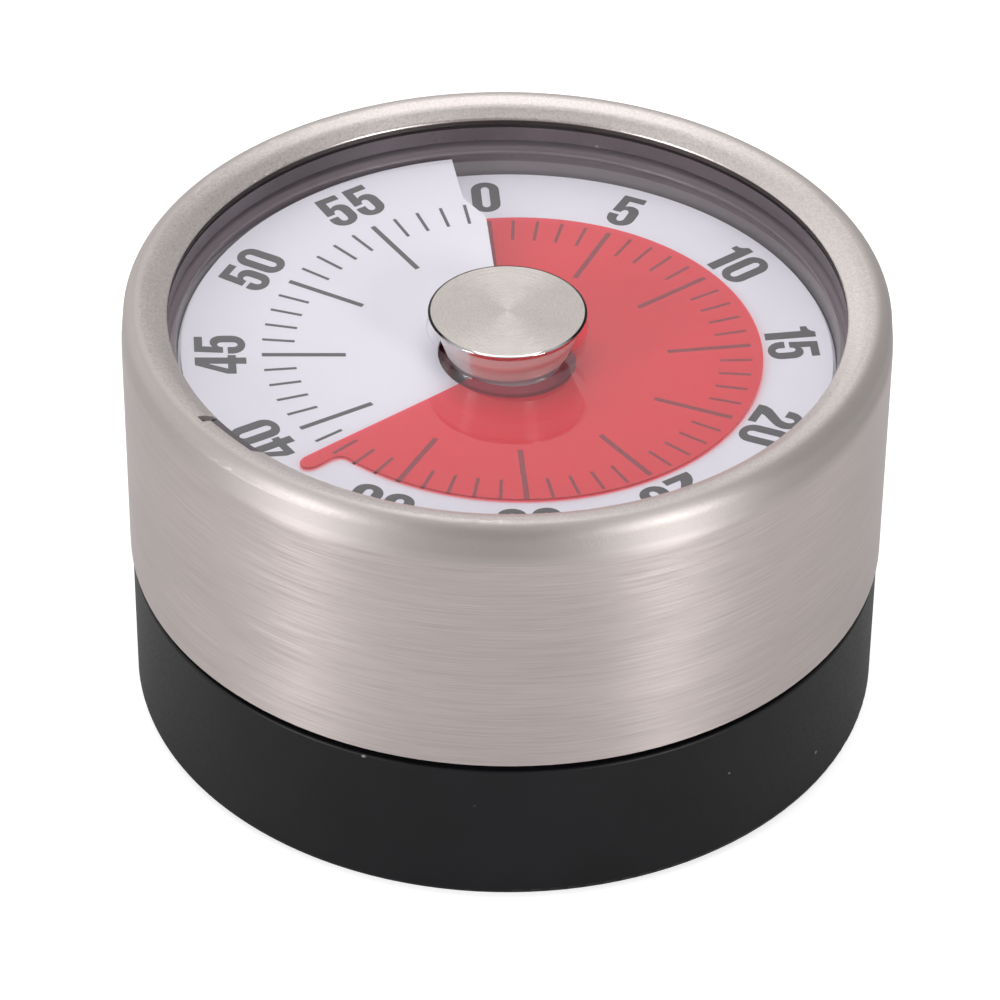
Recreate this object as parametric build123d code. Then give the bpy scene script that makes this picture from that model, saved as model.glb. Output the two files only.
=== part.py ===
from build123d import *
import os
from math import acos, asin, atan2, cos, degrees, hypot, pi, radians, sin, sqrt, tan

# Mechanical 60-minute visual timer: a brushed steel drum on a black base, a white ramp dial
# with a red film that winds through its slit, and a spring-driven movement with a bell.
# Millimetres, +Z up, origin at the centre of the foot ring's underside.

# ---------------------------------------------------------------- driving dimensions
# Making
overrun = 1.0                    # a cut runs this far past the metal
overlap = 0.5                    # joined bodies run into each other by this much
trim_minutes = 0.5               # a sheet is made this much longer than it is cut to
end_play = 0.1                   # arbors and levers between their plates

# Steel drum
drum_radius = 39.0
drum_corner_height = 29.3        # lower edge to the unrounded top corner
steel_sheet = 0.6
drum_lean = 0.4                  # the wall leans in by this much near the rim
drum_lean_height = 4.3
drum_lean_blend = 12.0
rim_corner_radius = 1.5
rim_width = 4.7                  # drum to the lip's inner edge, seen from above
lip_fall = 1.65                  # corner to the lip's top edge
rim_bend_inset = 2.7             # corner to the bend where the rim turns down to the lip
rim_bend_fall = 0.65
rim_bend_radius = 3.0
lip_edge_radius = 0.4
notch_width = 7.4
notch_depth = 1.3
notch_relief_width = 1.0
notch_relief_depth = 0.9
notch_minute = 39.05             # where on the dial the notch points

# Base
foot_stand = 0.4                 # the rubber foot stands this far below the base
foot_width = 4.0
foot_inset = 4.2                 # case screws to the foot ring's outer edge
foot_thickness = 1.2
foot_play = 0.1
foot_edge_share = 0.6            # rounding of its lower edges, of foot_stand
base_inset = 0.2                 # the base is this much smaller than the drum, all round
base_height = 16.3
base_edge_radius = 0.9
base_top_edge_radius = 0.3
base_wall = 2.2
base_floor = 2.0
base_floor_radius = 1.0
shadow_gap = 1.0
neck_inset = 2.0
spigot_height = 6.0
spigot_wall = 3.2
spigot_root = 1.0                # the spigot's bore runs on below the base's top
spigot_blend_slope = 2.0         # depth over width of the blend to the cup's bore
drum_play = 0.2
magnet_radius = 11.0
magnet_thickness = 3.0
magnet_play = 0.1
magnet_recess = 0.2
magnet_chamfer = 0.3
magnet_boss_wall = 1.5
magnet_boss_roof = 1.2

# Dial well, lens and ring
well_bore_inset = 0.8            # the bore is this much smaller than the lip
well_inner_wall = 1.6
well_skirt_wall = 1.4
well_top_ring = 1.5
well_edge_radius = 0.25
well_depth = 7.3
well_arbor_play = 0.6
well_floor = 1.2
lens_thickness = 0.9
lens_play = 0.2
lens_hole_radius = 6.7
lens_chamfer = 0.12
lens_ring_height = 1.6          # of its bore, up to the groove under the lip
lens_groove_height = 0.45
lens_groove_width = 0.8
lens_ring_play = 0.05            # under the lip
lens_ring_inset = 0.1            # the ring's bore is this much wider than the lip
lug_play = 0.3
lug_height = 0.6                 # over the lip's underside
lug_root = 1.0

# Ramp dial and film
turn_minutes = 60.0              # counted in one turn
zero_tilt = 4.86                 # the 0 mark stands this many degrees before the far side
dial_drop = 3.31                 # lens to the dial's top at minute 0, at dial_level_radius
dial_level_radius = 20.0
dial_pitch = 2.3                 # rise over one turn, clockwise
dial_dish = 0.048                # rise per millimetre outward
dial_edge_gap = 0.4
dial_hole_radius = 7.05
dial_sheet = 0.5
dial_tail_minutes = 2.0          # the low end runs on under the high end
dial_end_gap = 0.2               # minutes from the high end to the full turn
dial_step_gap = 0.97             # minutes; past the step the end stands back from the 0 numeral
dial_step_length = 3.6           # the step slopes over this much of the radius
dial_step_radius = 2.0
dial_seat = 1.7                  # the ramp ring carries this much of the dial's edge
ramp_ring_play = 0.1
numeral_band = 6.9               # film to the dial's edge
film_sheet = 0.15
film_gap = 0.25
film_slit_minutes = 1.4
rest_minutes = 38.0 + 1.0 / 3.0
pointer_offset = 0.97            # leading edge runs beside the radius by this much
pointer_width = 1.9
pointer_overhang = 2.9           # past the film's edge
pointer_root_radius = 1.0
reading_inset = 1.2              # the pointer is read this far inside the film's edge

# Knob, film hub and main arbor
knob_radius = 8.08
knob_stand = 2.1                 # knob's top over the lens
knob_bevel = 0.33
knob_edge = 0.2
skirt_height = 1.85
skirt_waist_spread = 1.0 / 3.0   # of the way from the stem to the edge
skirt_waist_share = 0.45         # at this much of the skirt's height
stem_radius = 5.9
hub_play = 0.05
hub_wall = 0.4
hub_top_gap = 0.1                # knob's skirt to the hub with the film at 60 minutes
hub_floor_gap = 0.43             # hub to the well's floor with the film at 0
hub_web = 1.0
hub_end_play = 0.22              # stem to the hub's web with the film at 60 minutes
arbor_radius = 2.0
arbor_flat = 1.6                 # half the width across the driving flats
arbor_play = 0.06
arbor_knob_depth = 1.3           # metal left above the arbor in the knob
arbor_foot_radius = 1.5
arbor_foot_reach = 0.3           # below the strike cam
arbor_flats_gap = 0.2
arbor_collar_radius = 3.2
arbor_collar_height = 0.4
seat_play = 0.02

# Movement frame
plate_gap = 0.3                  # to the bosses round it
plate_thickness = 1.2
plate_spacing = 11.9
pillar_inset = 2.5
pillar_angles = (80.0, 170.0, 230.0, 330.0)
pillar_radius = 1.8
pillar_stud_radius = 1.2
pillar_thread_radius = 1.0
pillar_thread_depth = 6.0
nut_across_flats = 4.0
nut_height = 1.4
frame_screw_head_radius = 2.0
frame_screw_head = 1.2
frame_screw_end_gap = 1.0
pivot_radius = 0.5
pivot_play = 0.05
post_radius = 1.0
rivet_share = 0.8                # a riveted foot, of its post's radius

# Going train: teeth, modules and where each arbor stands
train_edge_gap = 1.2             # second wheel to the plate's edge
third_module_share = 0.875       # of the first two pairs' module
main_teeth = 70
second_pinion_teeth = 10
second_teeth = 60
third_pinion_teeth = 10
third_teeth = 54
escape_pinion_teeth = 9
escape_teeth = 20
second_direction = -60.0
third_direction = 55.0
escape_direction = 95.0
pallet_direction = 75.0
wheel_addendum = 0.75
wheel_dedendum = 1.2
pinion_addendum = 0.8
pinion_dedendum = 1.15
tooth_thinning = 0.12            # of the module, for backlash
pressure_angle = 20.0
undercut_teeth = 17              # fewer teeth than this are undercut
undercut_share = 0.75            # tooth thickness left at an undercut root
arbor_rod_radius = 0.8
wheel_hub_radius = 1.9
pinion_overhang = 0.7
second_pinion_rise = 0.56        # its leaves over the main wheel
second_wheel_holes = (6.3, 2.6, 5)      # circle, hole radius, number
third_wheel_holes = (5.2, 2.0, 5)

# Level of each wheel above the lower plate, and its thickness
main_wheel_level = 10.4
main_wheel_thickness = 0.8
second_wheel_level = 7.8
second_wheel_thickness = 0.6
third_wheel_level = 5.4
third_wheel_thickness = 0.5
escape_wheel_level = 7.4
escape_wheel_thickness = 0.4
escape_tip_radius = 5.0
escape_root_radius = 3.9
escape_root_share = 0.35
escape_tip_share = 0.09
pallet_distance = 8.0
pallet_pin_angle = 40.5
pallet_pin_radius = 0.2
pallet_pin_gap = 0.1
pallet_pin_reach = 0.3           # below the escape wheel
pallet_level = 8.2
pallet_thickness = 0.6
pallet_arm_width = 1.1
pallet_hub_radius = 1.5
bob_radius = 1.9
bob_arm = 4.2
bob_thickness = 1.2

# Mainspring and winding ratchet
spring_inner_radius = 2.3
spring_outer_radius = 11.5
spring_turns = 6
spring_strip = 0.25
spring_height = 3.6
spring_level = 0.8
spring_post_gap = 0.1
spring_post_rise = 0.5
ratchet_teeth = 12
ratchet_tip_radius = 5.0
ratchet_root_radius = 4.0
ratchet_thickness = 0.8
click_width = 1.2
click_pivot_radius = 7.4
click_direction = 150.0
click_span = 30.0                # pivot to beak, round the arbor
click_beak_share = 0.6
click_gap = 0.3
click_spring_wire = 0.3
click_spring_lag_angle = 12.0
click_spring_bend_angle = 70.0
click_spring_post_radius = 0.45

# Bell and hammer
bell_inset = 3.0                 # pillars to the bell
bell_sheet = 0.8
bell_gap = 0.6                   # rim to the strike cam's level
bell_flat_radius = 8.0
bell_rise = 2.5
bell_bend = 5.0
bell_bend_rise_share = 0.9       # the bend's inside over its outside, of the sheet
bell_crown_radius = 3.0
bell_post_radius = 4.0
bell_post_height = 2.2
bell_screw_head_radius = 2.6
bell_screw_head = 1.6
bell_hole_radius = 1.6
bell_thread_floor = 0.5
screw_radius = 1.4
screw_play = 0.1
thread_play = 0.02
cam_radius = 4.5
cam_thickness = 1.0
cam_notch = 1.5
cam_gap = 1.2                    # cam to the lower plate
hammer_pivot_x = -11.0
hammer_tail_length = 12.0
hammer_arm_width = 1.2
hammer_hub_radius = 1.8
hammer_head_radius = 2.0
hammer_head_length = 3.4
hammer_head_angle = -133.0
hammer_gap = 0.3
hammer_collar_radius = 1.44
hammer_collar = 0.5

# Case screws
case_screw_inset = 6.0           # spigot's outside to the screws
case_screw_angles = (30.0, 150.0, 270.0)
boss_radius = 2.4
boss_foot_wall = 1.1
case_screw_head_radius = 2.6
case_screw_head = 1.8
case_screw_recess = 0.4
case_screw_grip = 10.0           # length held in the dial well's boss
case_screw_end_gap = 1.0
boss_gap = 0.05
cross_width = 0.7
cross_length_share = 0.6         # of the screw head's width
cross_depth = 0.8

# ---------------------------------------------------------------- derived radii
drum_bore = drum_radius - steel_sheet
inner_radius = drum_bore - drum_play
lip_inner_radius = drum_radius - rim_width
base_radius = drum_radius - base_inset
neck_radius = base_radius - neck_inset
well_bore_radius = lip_inner_radius - well_bore_inset
dial_radius = well_bore_radius - dial_edge_gap
ramp_ring_inner_radius = dial_radius - dial_seat
film_radius = dial_radius - numeral_band
pointer_reach = film_radius + pointer_overhang
reading_radius = film_radius - reading_inset
case_screw_circle = inner_radius - case_screw_inset
foot_outer_radius = case_screw_circle - foot_inset
foot_inner_radius = foot_outer_radius - foot_width
plate_radius = case_screw_circle - boss_radius - plate_gap
pillar_circle = plate_radius - pillar_inset
bell_radius = pillar_circle - bell_inset
hub_radius = stem_radius + hub_play + hub_wall
rim_outer_radius = drum_radius - drum_lean
rim_bend_place = rim_outer_radius - rim_bend_inset

# The largest train that fits the plates: main wheel, pinion and second wheel in one line
first_pair_teeth = main_teeth + second_pinion_teeth
train_reach = (first_pair_teeth + second_teeth) / 2.0 + wheel_addendum
first_module = (plate_radius - train_edge_gap) / train_reach
second_module = first_module
third_module = first_module * third_module_share

# ---------------------------------------------------------------- derived minutes
dial_end_minute = turn_minutes - dial_end_gap
dial_step_minute = turn_minutes - dial_step_gap
film_span_minutes = turn_minutes - film_slit_minutes

# ---------------------------------------------------------------- derived levels
base_bottom = foot_stand
base_top = base_bottom + base_height
drum_bottom = base_top + shadow_gap
spigot_top = drum_bottom + spigot_height
floor_top = base_bottom + base_floor
lip_top = drum_bottom + drum_corner_height - lip_fall
lip_bottom = lip_top - steel_sheet
rim_corner_level = drum_bottom + drum_corner_height
rim_bend_level = rim_corner_level - rim_bend_fall
lens_ring_shoulder = lip_bottom - lens_groove_height
lens_top = lens_ring_shoulder - lens_ring_height
lens_bottom = lens_top - lens_thickness
well_floor_top = lens_bottom - well_depth
dial_level = lens_bottom - dial_drop
film_rise = dial_pitch * (turn_minutes - rest_minutes) / turn_minutes
film_fall = dial_pitch * rest_minutes / turn_minutes
knob_top = lens_top + knob_stand
knob_rim = knob_top - knob_bevel
skirt_top = knob_rim - knob_edge
skirt_bottom = skirt_top - skirt_height
hub_top = skirt_bottom - film_rise - hub_top_gap
hub_bottom = well_floor_top + film_fall + hub_floor_gap
stem_bottom = hub_bottom + hub_web + film_rise + hub_end_play
plate_top_z = well_floor_top - well_floor
upper_plate_bottom = plate_top_z - plate_thickness
lower_plate_top = upper_plate_bottom - plate_spacing
lower_plate_bottom = lower_plate_top - plate_thickness
cam_top = lower_plate_bottom - cam_gap
cam_bottom = cam_top - cam_thickness
magnet_top = base_bottom + magnet_recess + magnet_thickness
bell_seat = magnet_top + magnet_boss_roof + bell_post_height
bell_rim = cam_bottom - bell_gap


# ---------------------------------------------------------------- helpers
def minute_angle(minute):
    """Direction of a minute mark, in degrees counter-clockwise from +X."""
    return 90.0 + zero_tilt - 360.0 * minute / turn_minutes


def polar(radius, angle):
    """Plan position at a radius and an angle in degrees."""
    return (radius * cos(radians(angle)), radius * sin(radians(angle)))


def offset_point(start, distance, angle):
    """Plan position a distance away from another, at an angle in degrees."""
    step = polar(distance, angle)
    return (start[0] + step[0], start[1] + step[1])


def rod(radius, bottom, top, place=(0.0, 0.0)):
    """Upright cylinder between two levels."""
    middle = (bottom + top) / 2.0
    return Pos(place[0], place[1], middle) * Cylinder(radius, top - bottom)


def tube(outer, inner, bottom, top, place=(0.0, 0.0)):
    """Upright ring between two levels."""
    return rod(outer, bottom, top, place) - rod(inner, bottom - overrun, top + overrun, place)


def plate_from(sketch, bottom, thickness):
    """Flat piece cut from a plan outline."""
    return extrude(Pos(0, 0, bottom) * sketch, amount=thickness)


def rounded_outline(corners):
    """Closed outline through (x, y, radius) corners, each one rounded by its radius."""
    edges = []
    count = len(corners)
    starts = []
    ends = []
    for index, (x, y, radius) in enumerate(corners):
        before = Vector(*corners[index - 1][:2])
        after = Vector(*corners[(index + 1) % count][:2])
        here = Vector(x, y)
        if radius == 0:
            starts.append(here)
            ends.append(here)
            continue
        toward = (before - here).normalized()
        away = (after - here).normalized()
        half_angle = radians(toward.get_angle(away)) / 2.0
        reach = radius / tan(half_angle)
        centre = here + (toward + away).normalized() * (radius / sin(half_angle))
        middle = centre + (here - centre).normalized() * radius
        starts.append(here + toward * reach)
        ends.append(here + away * reach)
        edges.append(ThreePointArc(starts[-1], middle, ends[-1]))
    for index in range(count):
        following = (index + 1) % count
        if (ends[index] - starts[following]).length > 1e-6:
            edges.append(Line(ends[index], starts[following]))
    return make_face(Wire.combine(edges)[0].edges())


def turned(corners):
    """Solid of revolution about Z from (radius, level, rounding) corners."""
    return revolve(Plane.XZ * rounded_outline(corners), Axis.Z)


def ramp_level(radius, minute):
    """Level of the dial's top surface."""
    rise = dial_pitch * minute / turn_minutes
    return dial_level + dial_dish * (radius - dial_level_radius) + rise


def ramp_sheet(inner, outer, first_minute, last_minute, lift, thickness):
    """Helicoid sheet that rises clockwise with the dial; lift places its top over the dial's."""
    rise = dial_pitch * (last_minute - first_minute) / turn_minutes
    start = minute_angle(first_minute)

    def edge(radius, drop):
        helix = Edge.make_helix(dial_pitch, rise, radius, lefthand=True).rotate(Axis.Z, start)
        return helix.translate((0, 0, ramp_level(radius, first_minute) + lift - drop))

    top_in = edge(inner, 0.0)
    top_out = edge(outer, 0.0)
    low_in = edge(inner, thickness)
    low_out = edge(outer, thickness)
    faces = []
    for first, second in ((top_in, top_out), (low_in, low_out), (top_in, low_in), (top_out, low_out)):
        faces.append(Face.make_surface_from_curves(first, second))
    for end in (0, 1):
        corners = [curve.position_at(end) for curve in (top_in, top_out, low_out, low_in)]
        faces.append(Face(Wire.make_polygon(corners)))
    return Solid(Shell(faces))


def tooth_half_angle(radius, teeth, module):
    """Half the angle that an involute tooth spans at a radius, in radians."""
    pitch_radius = teeth * module / 2.0
    base_radius_here = pitch_radius * cos(radians(pressure_angle))
    at_pitch = pi / (2.0 * teeth) - tooth_thinning * module / (2.0 * pitch_radius)
    involute_pitch = tan(radians(pressure_angle)) - radians(pressure_angle)
    if radius <= base_radius_here:
        return at_pitch + involute_pitch
    slope = acos(base_radius_here / radius)
    return at_pitch + involute_pitch - (tan(slope) - slope)


def gear_outline(teeth, module, addendum, dedendum, tooth_angle):
    """Plan outline of a gear with one tooth centred on tooth_angle."""
    pitch_radius = teeth * module / 2.0
    root = pitch_radius - dedendum * module
    tip = pitch_radius + addendum * module
    base = max(pitch_radius * cos(radians(pressure_angle)), root)
    undercut = undercut_share if teeth < undercut_teeth else 1.0
    flank = [(root, tooth_half_angle(root, teeth, module) * undercut)]
    for radius in (base, pitch_radius, tip):
        if radius > root:
            flank.append((radius, tooth_half_angle(radius, teeth, module)))
    points = []
    for tooth in range(teeth):
        middle = tooth_angle + 360.0 * tooth / teeth
        for radius, half in flank:
            points.append(polar(radius, middle - degrees(half)))
        for radius, half in reversed(flank):
            points.append(polar(radius, middle + degrees(half)))
    return make_face(Polyline(*points, close=True))


def pointed_outline(teeth, tip, root, tooth_angle, root_share, tip_share):
    """Plan outline of a wheel with pointed teeth; the shares are of the tooth pitch."""
    pitch = 360.0 / teeth
    points = []
    for tooth in range(teeth):
        middle = tooth_angle + pitch * tooth
        points.append(polar(root, middle - pitch * (1.0 - root_share) / 2.0))
        points.append(polar(tip, middle - pitch * tip_share / 2.0))
        points.append(polar(tip, middle + pitch * tip_share / 2.0))
        points.append(polar(root, middle + pitch * (1.0 - root_share) / 2.0))
    return make_face(Polyline(*points, close=True))


def saw_outline(teeth, tip, root):
    """Plan outline of a ratchet wheel: each tooth has one steep and one sloping side."""
    points = []
    for tooth in range(teeth):
        steep = 360.0 * tooth / teeth
        points.append(polar(root, steep))
        points.append(polar(tip, steep))
    return make_face(Polyline(*points, close=True))


def meshing_angle(driver_angle, driver_teeth, driven_teeth, direction):
    """Tooth angle of a driven gear that meshes with its driver along a direction."""
    phase = ((direction - driver_angle) * driver_teeth / 360.0) % 1.0
    return direction + 180.0 - (0.5 - phase) * 360.0 / driven_teeth


def cross_recess(head_radius, face, up):
    """Cross cut into a screw head, from its face."""
    middle = face - cross_depth / 2.0 if up else face + cross_depth / 2.0
    length = 2.0 * head_radius * cross_length_share
    bar = Box(length, cross_width, cross_depth)
    return Pos(0, 0, middle) * (bar + Rot(0, 0, 90) * bar)


def group(solids):
    """Separate solids kept in one node."""
    return Compound(children=list(solids))


# ---------------------------------------------------------------- places of the arbors
first_centre = first_module * (main_teeth + second_pinion_teeth) / 2.0
second_centre = second_module * (second_teeth + third_pinion_teeth) / 2.0
third_centre = third_module * (third_teeth + escape_pinion_teeth) / 2.0
second_place = polar(first_centre, second_direction)
third_place = offset_point(second_place, second_centre, third_direction)
escape_place = offset_point(third_place, third_centre, escape_direction)
pallet_place = offset_point(escape_place, pallet_distance, pallet_direction)

main_tooth_angle = second_direction
second_pinion_angle = meshing_angle(main_tooth_angle, main_teeth, second_pinion_teeth, second_direction)
second_tooth_angle = third_direction
third_pinion_angle = meshing_angle(second_tooth_angle, second_teeth, third_pinion_teeth, third_direction)
third_tooth_angle = escape_direction
escape_pinion_angle = meshing_angle(third_tooth_angle, third_teeth, escape_pinion_teeth, escape_direction)
escape_tooth_angle = pallet_direction + 180.0 / escape_teeth

hammer_tail_y = cam_radius + hammer_gap + hammer_arm_width / 2.0
hammer_place = (hammer_pivot_x, hammer_tail_y)
bell_bore = bell_radius - bell_sheet
hammer_head_place = polar(bell_bore - hammer_gap - hammer_head_radius, hammer_head_angle)


# ---------------------------------------------------------------- case
def lip_underside(radius):
    """Level of the steel's underside between the lip's edge and the rim's bend."""
    slope = (rim_bend_level - lip_top) / (rim_bend_place - lip_inner_radius)
    return lip_bottom + slope * (radius - lip_inner_radius)


def steel_shell():
    lean_z = rim_corner_level - drum_lean_height
    rim_slope = rim_bend_fall / rim_bend_inset
    inner_corner_r = rim_outer_radius - steel_sheet
    inner_corner_z = rim_corner_level - steel_sheet - rim_slope * steel_sheet
    shell = turned([
        (drum_bore, drum_bottom, 0),
        (drum_radius, drum_bottom, 0),
        (drum_radius, lean_z, drum_lean_blend),
        (rim_outer_radius, rim_corner_level, rim_corner_radius),
        (rim_bend_place, rim_bend_level, rim_bend_radius),
        (lip_inner_radius, lip_top, lip_edge_radius),
        (lip_inner_radius, lip_bottom, 0),
        (rim_bend_place, rim_bend_level - steel_sheet, rim_bend_radius - steel_sheet),
        (inner_corner_r, inner_corner_z, rim_corner_radius - steel_sheet),
        (drum_bore, lean_z, drum_lean_blend - steel_sheet),
    ])
    return shell - notch_block(0.0, lip_bottom - overrun, rim_corner_level)


def notch_block(play, bottom, top):
    """Block that fills the lip's notch, less a play all round."""
    height = top - bottom
    reach = notch_depth - play
    width = notch_width - 2.0 * play
    inside = 3.0
    middle = lip_inner_radius + (reach - inside) / 2.0
    block = Pos(middle, 0, bottom + height / 2.0) * Box(reach + inside, width, height)
    if play == 0:
        relief_reach = notch_depth + notch_relief_depth
        relief_x = lip_inner_radius + relief_reach / 2.0
        relief_y = -(notch_width - notch_relief_width) / 2.0
        relief = Pos(relief_x, relief_y, bottom + height / 2.0)
        block += relief * Box(relief_reach, notch_relief_width, height)
    return Rot(0, 0, minute_angle(notch_minute)) * block


def base_housing():
    spigot_bore = inner_radius - spigot_wall
    cup_bore = base_radius - base_wall
    spigot_foot = base_top - spigot_root
    blend_foot = spigot_foot - spigot_blend_slope * (cup_bore - spigot_bore)
    body = turned([
        (0, base_bottom, 0),
        (base_radius, base_bottom, base_edge_radius),
        (base_radius, base_top, base_top_edge_radius),
        (neck_radius, base_top, 0),
        (neck_radius, drum_bottom, 0),
        (inner_radius, drum_bottom, 0),
        (inner_radius, spigot_top, 0),
        (spigot_bore, spigot_top, 0),
        (spigot_bore, spigot_foot, 0),
        (cup_bore, blend_foot, 0),
        (cup_bore, floor_top, base_floor_radius),
        (0, floor_top, 0),
    ])
    boss_radius_here = magnet_radius + magnet_play + magnet_boss_wall
    body += rod(boss_radius_here, floor_top - overlap, magnet_top + magnet_boss_roof)
    body += rod(bell_post_radius, magnet_top, bell_seat)
    body -= rod(magnet_radius + magnet_play, base_bottom - overrun, magnet_top)
    body -= rod(screw_radius + thread_play, magnet_top + bell_thread_floor, bell_seat + overrun)
    groove_top = foot_thickness
    groove_outer = foot_outer_radius + foot_play
    groove_inner = foot_inner_radius - foot_play
    body -= tube(groove_outer, groove_inner, base_bottom - overrun, groove_top)
    recess_radius = case_screw_head_radius + screw_play
    recess_top = base_bottom + case_screw_recess + case_screw_head
    for angle in case_screw_angles:
        place = polar(case_screw_circle, angle)
        body += rod(boss_radius, floor_top - overlap, drum_bottom - boss_gap, place)
        foot_top = recess_top + boss_foot_wall
        body += rod(recess_radius + boss_foot_wall, floor_top - overlap, foot_top, place)
    for angle in case_screw_angles:
        place = polar(case_screw_circle, angle)
        body -= rod(screw_radius + screw_play, base_bottom - overrun, drum_bottom + overrun, place)
        body -= rod(recess_radius, base_bottom - overrun, recess_top, place)
    return body


def foot_ring():
    ring = tube(foot_outer_radius, foot_inner_radius, 0.0, foot_thickness)
    lower_edges = ring.edges().group_by(Axis.Z)[0]
    return fillet(lower_edges, foot_stand * foot_edge_share)


def base_magnet():
    disc = rod(magnet_radius, magnet_top - magnet_thickness, magnet_top)
    return chamfer(disc.edges().group_by(Axis.Z)[0], magnet_chamfer)


def case_screws():
    screws = []
    face = base_bottom + case_screw_recess
    for angle in case_screw_angles:
        screw = rod(case_screw_head_radius, face, face + case_screw_head)
        screw += rod(screw_radius, face + overlap, drum_bottom + case_screw_grip)
        screw -= cross_recess(case_screw_head_radius, face, up=False)
        place = polar(case_screw_circle, angle)
        screws.append(Pos(place[0], place[1], 0) * screw)
    return group(screws)


def dial_well():
    skirt_bore = inner_radius - well_skirt_wall
    wall_outer = well_bore_radius + well_inner_wall
    above_floor = well_floor_top + overrun
    well = turned([
        (0, well_floor_top - well_floor, 0),
        (wall_outer, well_floor_top - well_floor, 0),
        (wall_outer, lens_bottom - well_top_ring, 0),
        (skirt_bore, lens_bottom - well_top_ring, 0),
        (skirt_bore, spigot_top, 0),
        (inner_radius, spigot_top, 0),
        (inner_radius, lens_bottom, 0),
        (well_bore_radius, lens_bottom, well_edge_radius),
        (well_bore_radius, well_floor_top, 0),
        (0, well_floor_top, 0),
    ])
    for angle in case_screw_angles:
        place = polar(case_screw_circle, angle)
        well += rod(boss_radius, drum_bottom, well_floor_top - overlap, place)
    for angle in case_screw_angles:
        place = polar(case_screw_circle, angle)
        pilot_top = drum_bottom + case_screw_grip + case_screw_end_gap
        well -= rod(screw_radius + thread_play, drum_bottom - overrun, pilot_top, place)
    for angle in pillar_angles:
        place = polar(pillar_circle, angle)
        well -= rod(pillar_thread_radius + screw_play, plate_top_z - overrun, above_floor, place)
    return well - rod(arbor_radius + well_arbor_play, plate_top_z - overrun, above_floor)


def lens():
    disc = tube(inner_radius - lens_play, lens_hole_radius, lens_bottom, lens_top)
    return chamfer(disc.edges().filter_by(GeomType.CIRCLE), lens_chamfer)


def lens_ring():
    bore = lip_inner_radius + lens_ring_inset
    outer = inner_radius - drum_lean
    top_inner = bore + lens_groove_width
    ring = turned([
        (bore, lens_top, 0),
        (bore, lens_ring_shoulder, 0),
        (top_inner, lens_ring_shoulder, 0),
        (top_inner, lip_underside(top_inner) - lens_ring_play, 0),
        (rim_bend_place, lip_underside(rim_bend_place) - lens_ring_play, 0),
        (rim_bend_place, lens_ring_shoulder, 0),
        (outer, lens_ring_shoulder, 0),
        (outer, lens_top, 0),
    ])
    lug_bottom = lip_bottom - lug_root
    lug_top = lip_bottom + lug_height
    lug = notch_block(lug_play, lug_bottom, lug_top)
    lug -= rod(bore, lug_bottom - overrun, lug_top + overrun)
    return ring + lug


# ---------------------------------------------------------------- dial and film
def ramp_ring():
    outer = well_bore_radius - ramp_ring_play
    top = ramp_level(outer, turn_minutes)
    ring = tube(outer, ramp_ring_inner_radius, well_floor_top, top)
    first = -dial_tail_minutes
    headroom = 2.0 * dial_pitch
    inner = ramp_ring_inner_radius - overrun
    half_turn = turn_minutes / 2.0
    for start in (first, first + half_turn):
        lift = headroom - dial_sheet
        ring -= ramp_sheet(inner, outer + overrun, start, start + half_turn, lift, headroom)
    return ring


def dial_plate():
    last = dial_end_minute + trim_minutes
    inner = dial_hole_radius - overrun
    outer = dial_radius + overrun
    sheet = ramp_sheet(inner, outer, -dial_tail_minutes, last, 0.0, dial_sheet)
    sheet = sheet & rod(dial_radius, well_floor_top, lens_bottom + dial_pitch)
    sheet -= rod(dial_hole_radius, well_floor_top, lens_bottom + dial_pitch)
    inner_end = polar(dial_hole_radius / 2.0, minute_angle(dial_end_minute))
    step_in = polar(film_radius - dial_step_length, minute_angle(dial_end_minute))
    step_out = polar(film_radius, minute_angle(dial_step_minute))
    outer_end = polar(outer, minute_angle(dial_step_minute))
    beyond = minute_angle(turn_minutes + dial_tail_minutes)
    beyond_out = polar(outer, beyond)
    beyond_in = polar(dial_hole_radius / 2.0, beyond)
    waste = rounded_outline([
        (*inner_end, 0),
        (*step_in, dial_step_radius),
        (*step_out, dial_step_radius),
        (*outer_end, 0),
        (*beyond_out, 0),
        (*beyond_in, 0),
    ])
    high_end = ramp_level(dial_level_radius, turn_minutes)
    between_turns = high_end - dial_pitch / 2.0 - dial_sheet / 2.0
    return sheet - plate_from(waste, between_turns, 2.0 * dial_pitch)


def film_outline():
    """Plan outline of the film: a disc with a slit and a pointer beside it."""
    lead = minute_angle(rest_minutes) - degrees(asin(pointer_offset / reading_radius))
    trail = minute_angle(rest_minutes - film_span_minutes)
    along = Vector(*polar(1.0, lead))
    aside = Vector(*polar(1.0, lead + 90.0))
    tip_radius = pointer_width / 2.0
    tip_middle = aside * (pointer_offset + tip_radius)
    tip_run = sqrt((pointer_reach - tip_radius) ** 2 - (pointer_offset + tip_radius) ** 2)
    bar = Rectangle(tip_run, pointer_width, align=(Align.MIN, Align.CENTER))
    bar += Pos(tip_run, 0) * Circle(tip_radius)
    pointer = Pos(tip_middle.X, tip_middle.Y) * Rot(0, 0, lead) * bar
    disc = Circle(film_radius) + pointer
    corner_aside = pointer_offset + pointer_width
    corner = aside * corner_aside + along * sqrt(film_radius ** 2 - corner_aside ** 2)
    root = disc.vertices().sort_by_distance(corner)[0]
    disc = fillet(root, pointer_root_radius)
    start = aside * pointer_offset
    far = start + along * (2.0 * film_radius)
    far_trail = polar(2.0 * film_radius, trail)
    wedge = make_face(Polyline((start.X, start.Y), (far.X, far.Y), far_trail, (0, 0), close=True))
    return disc - wedge - Circle(hub_radius)


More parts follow.
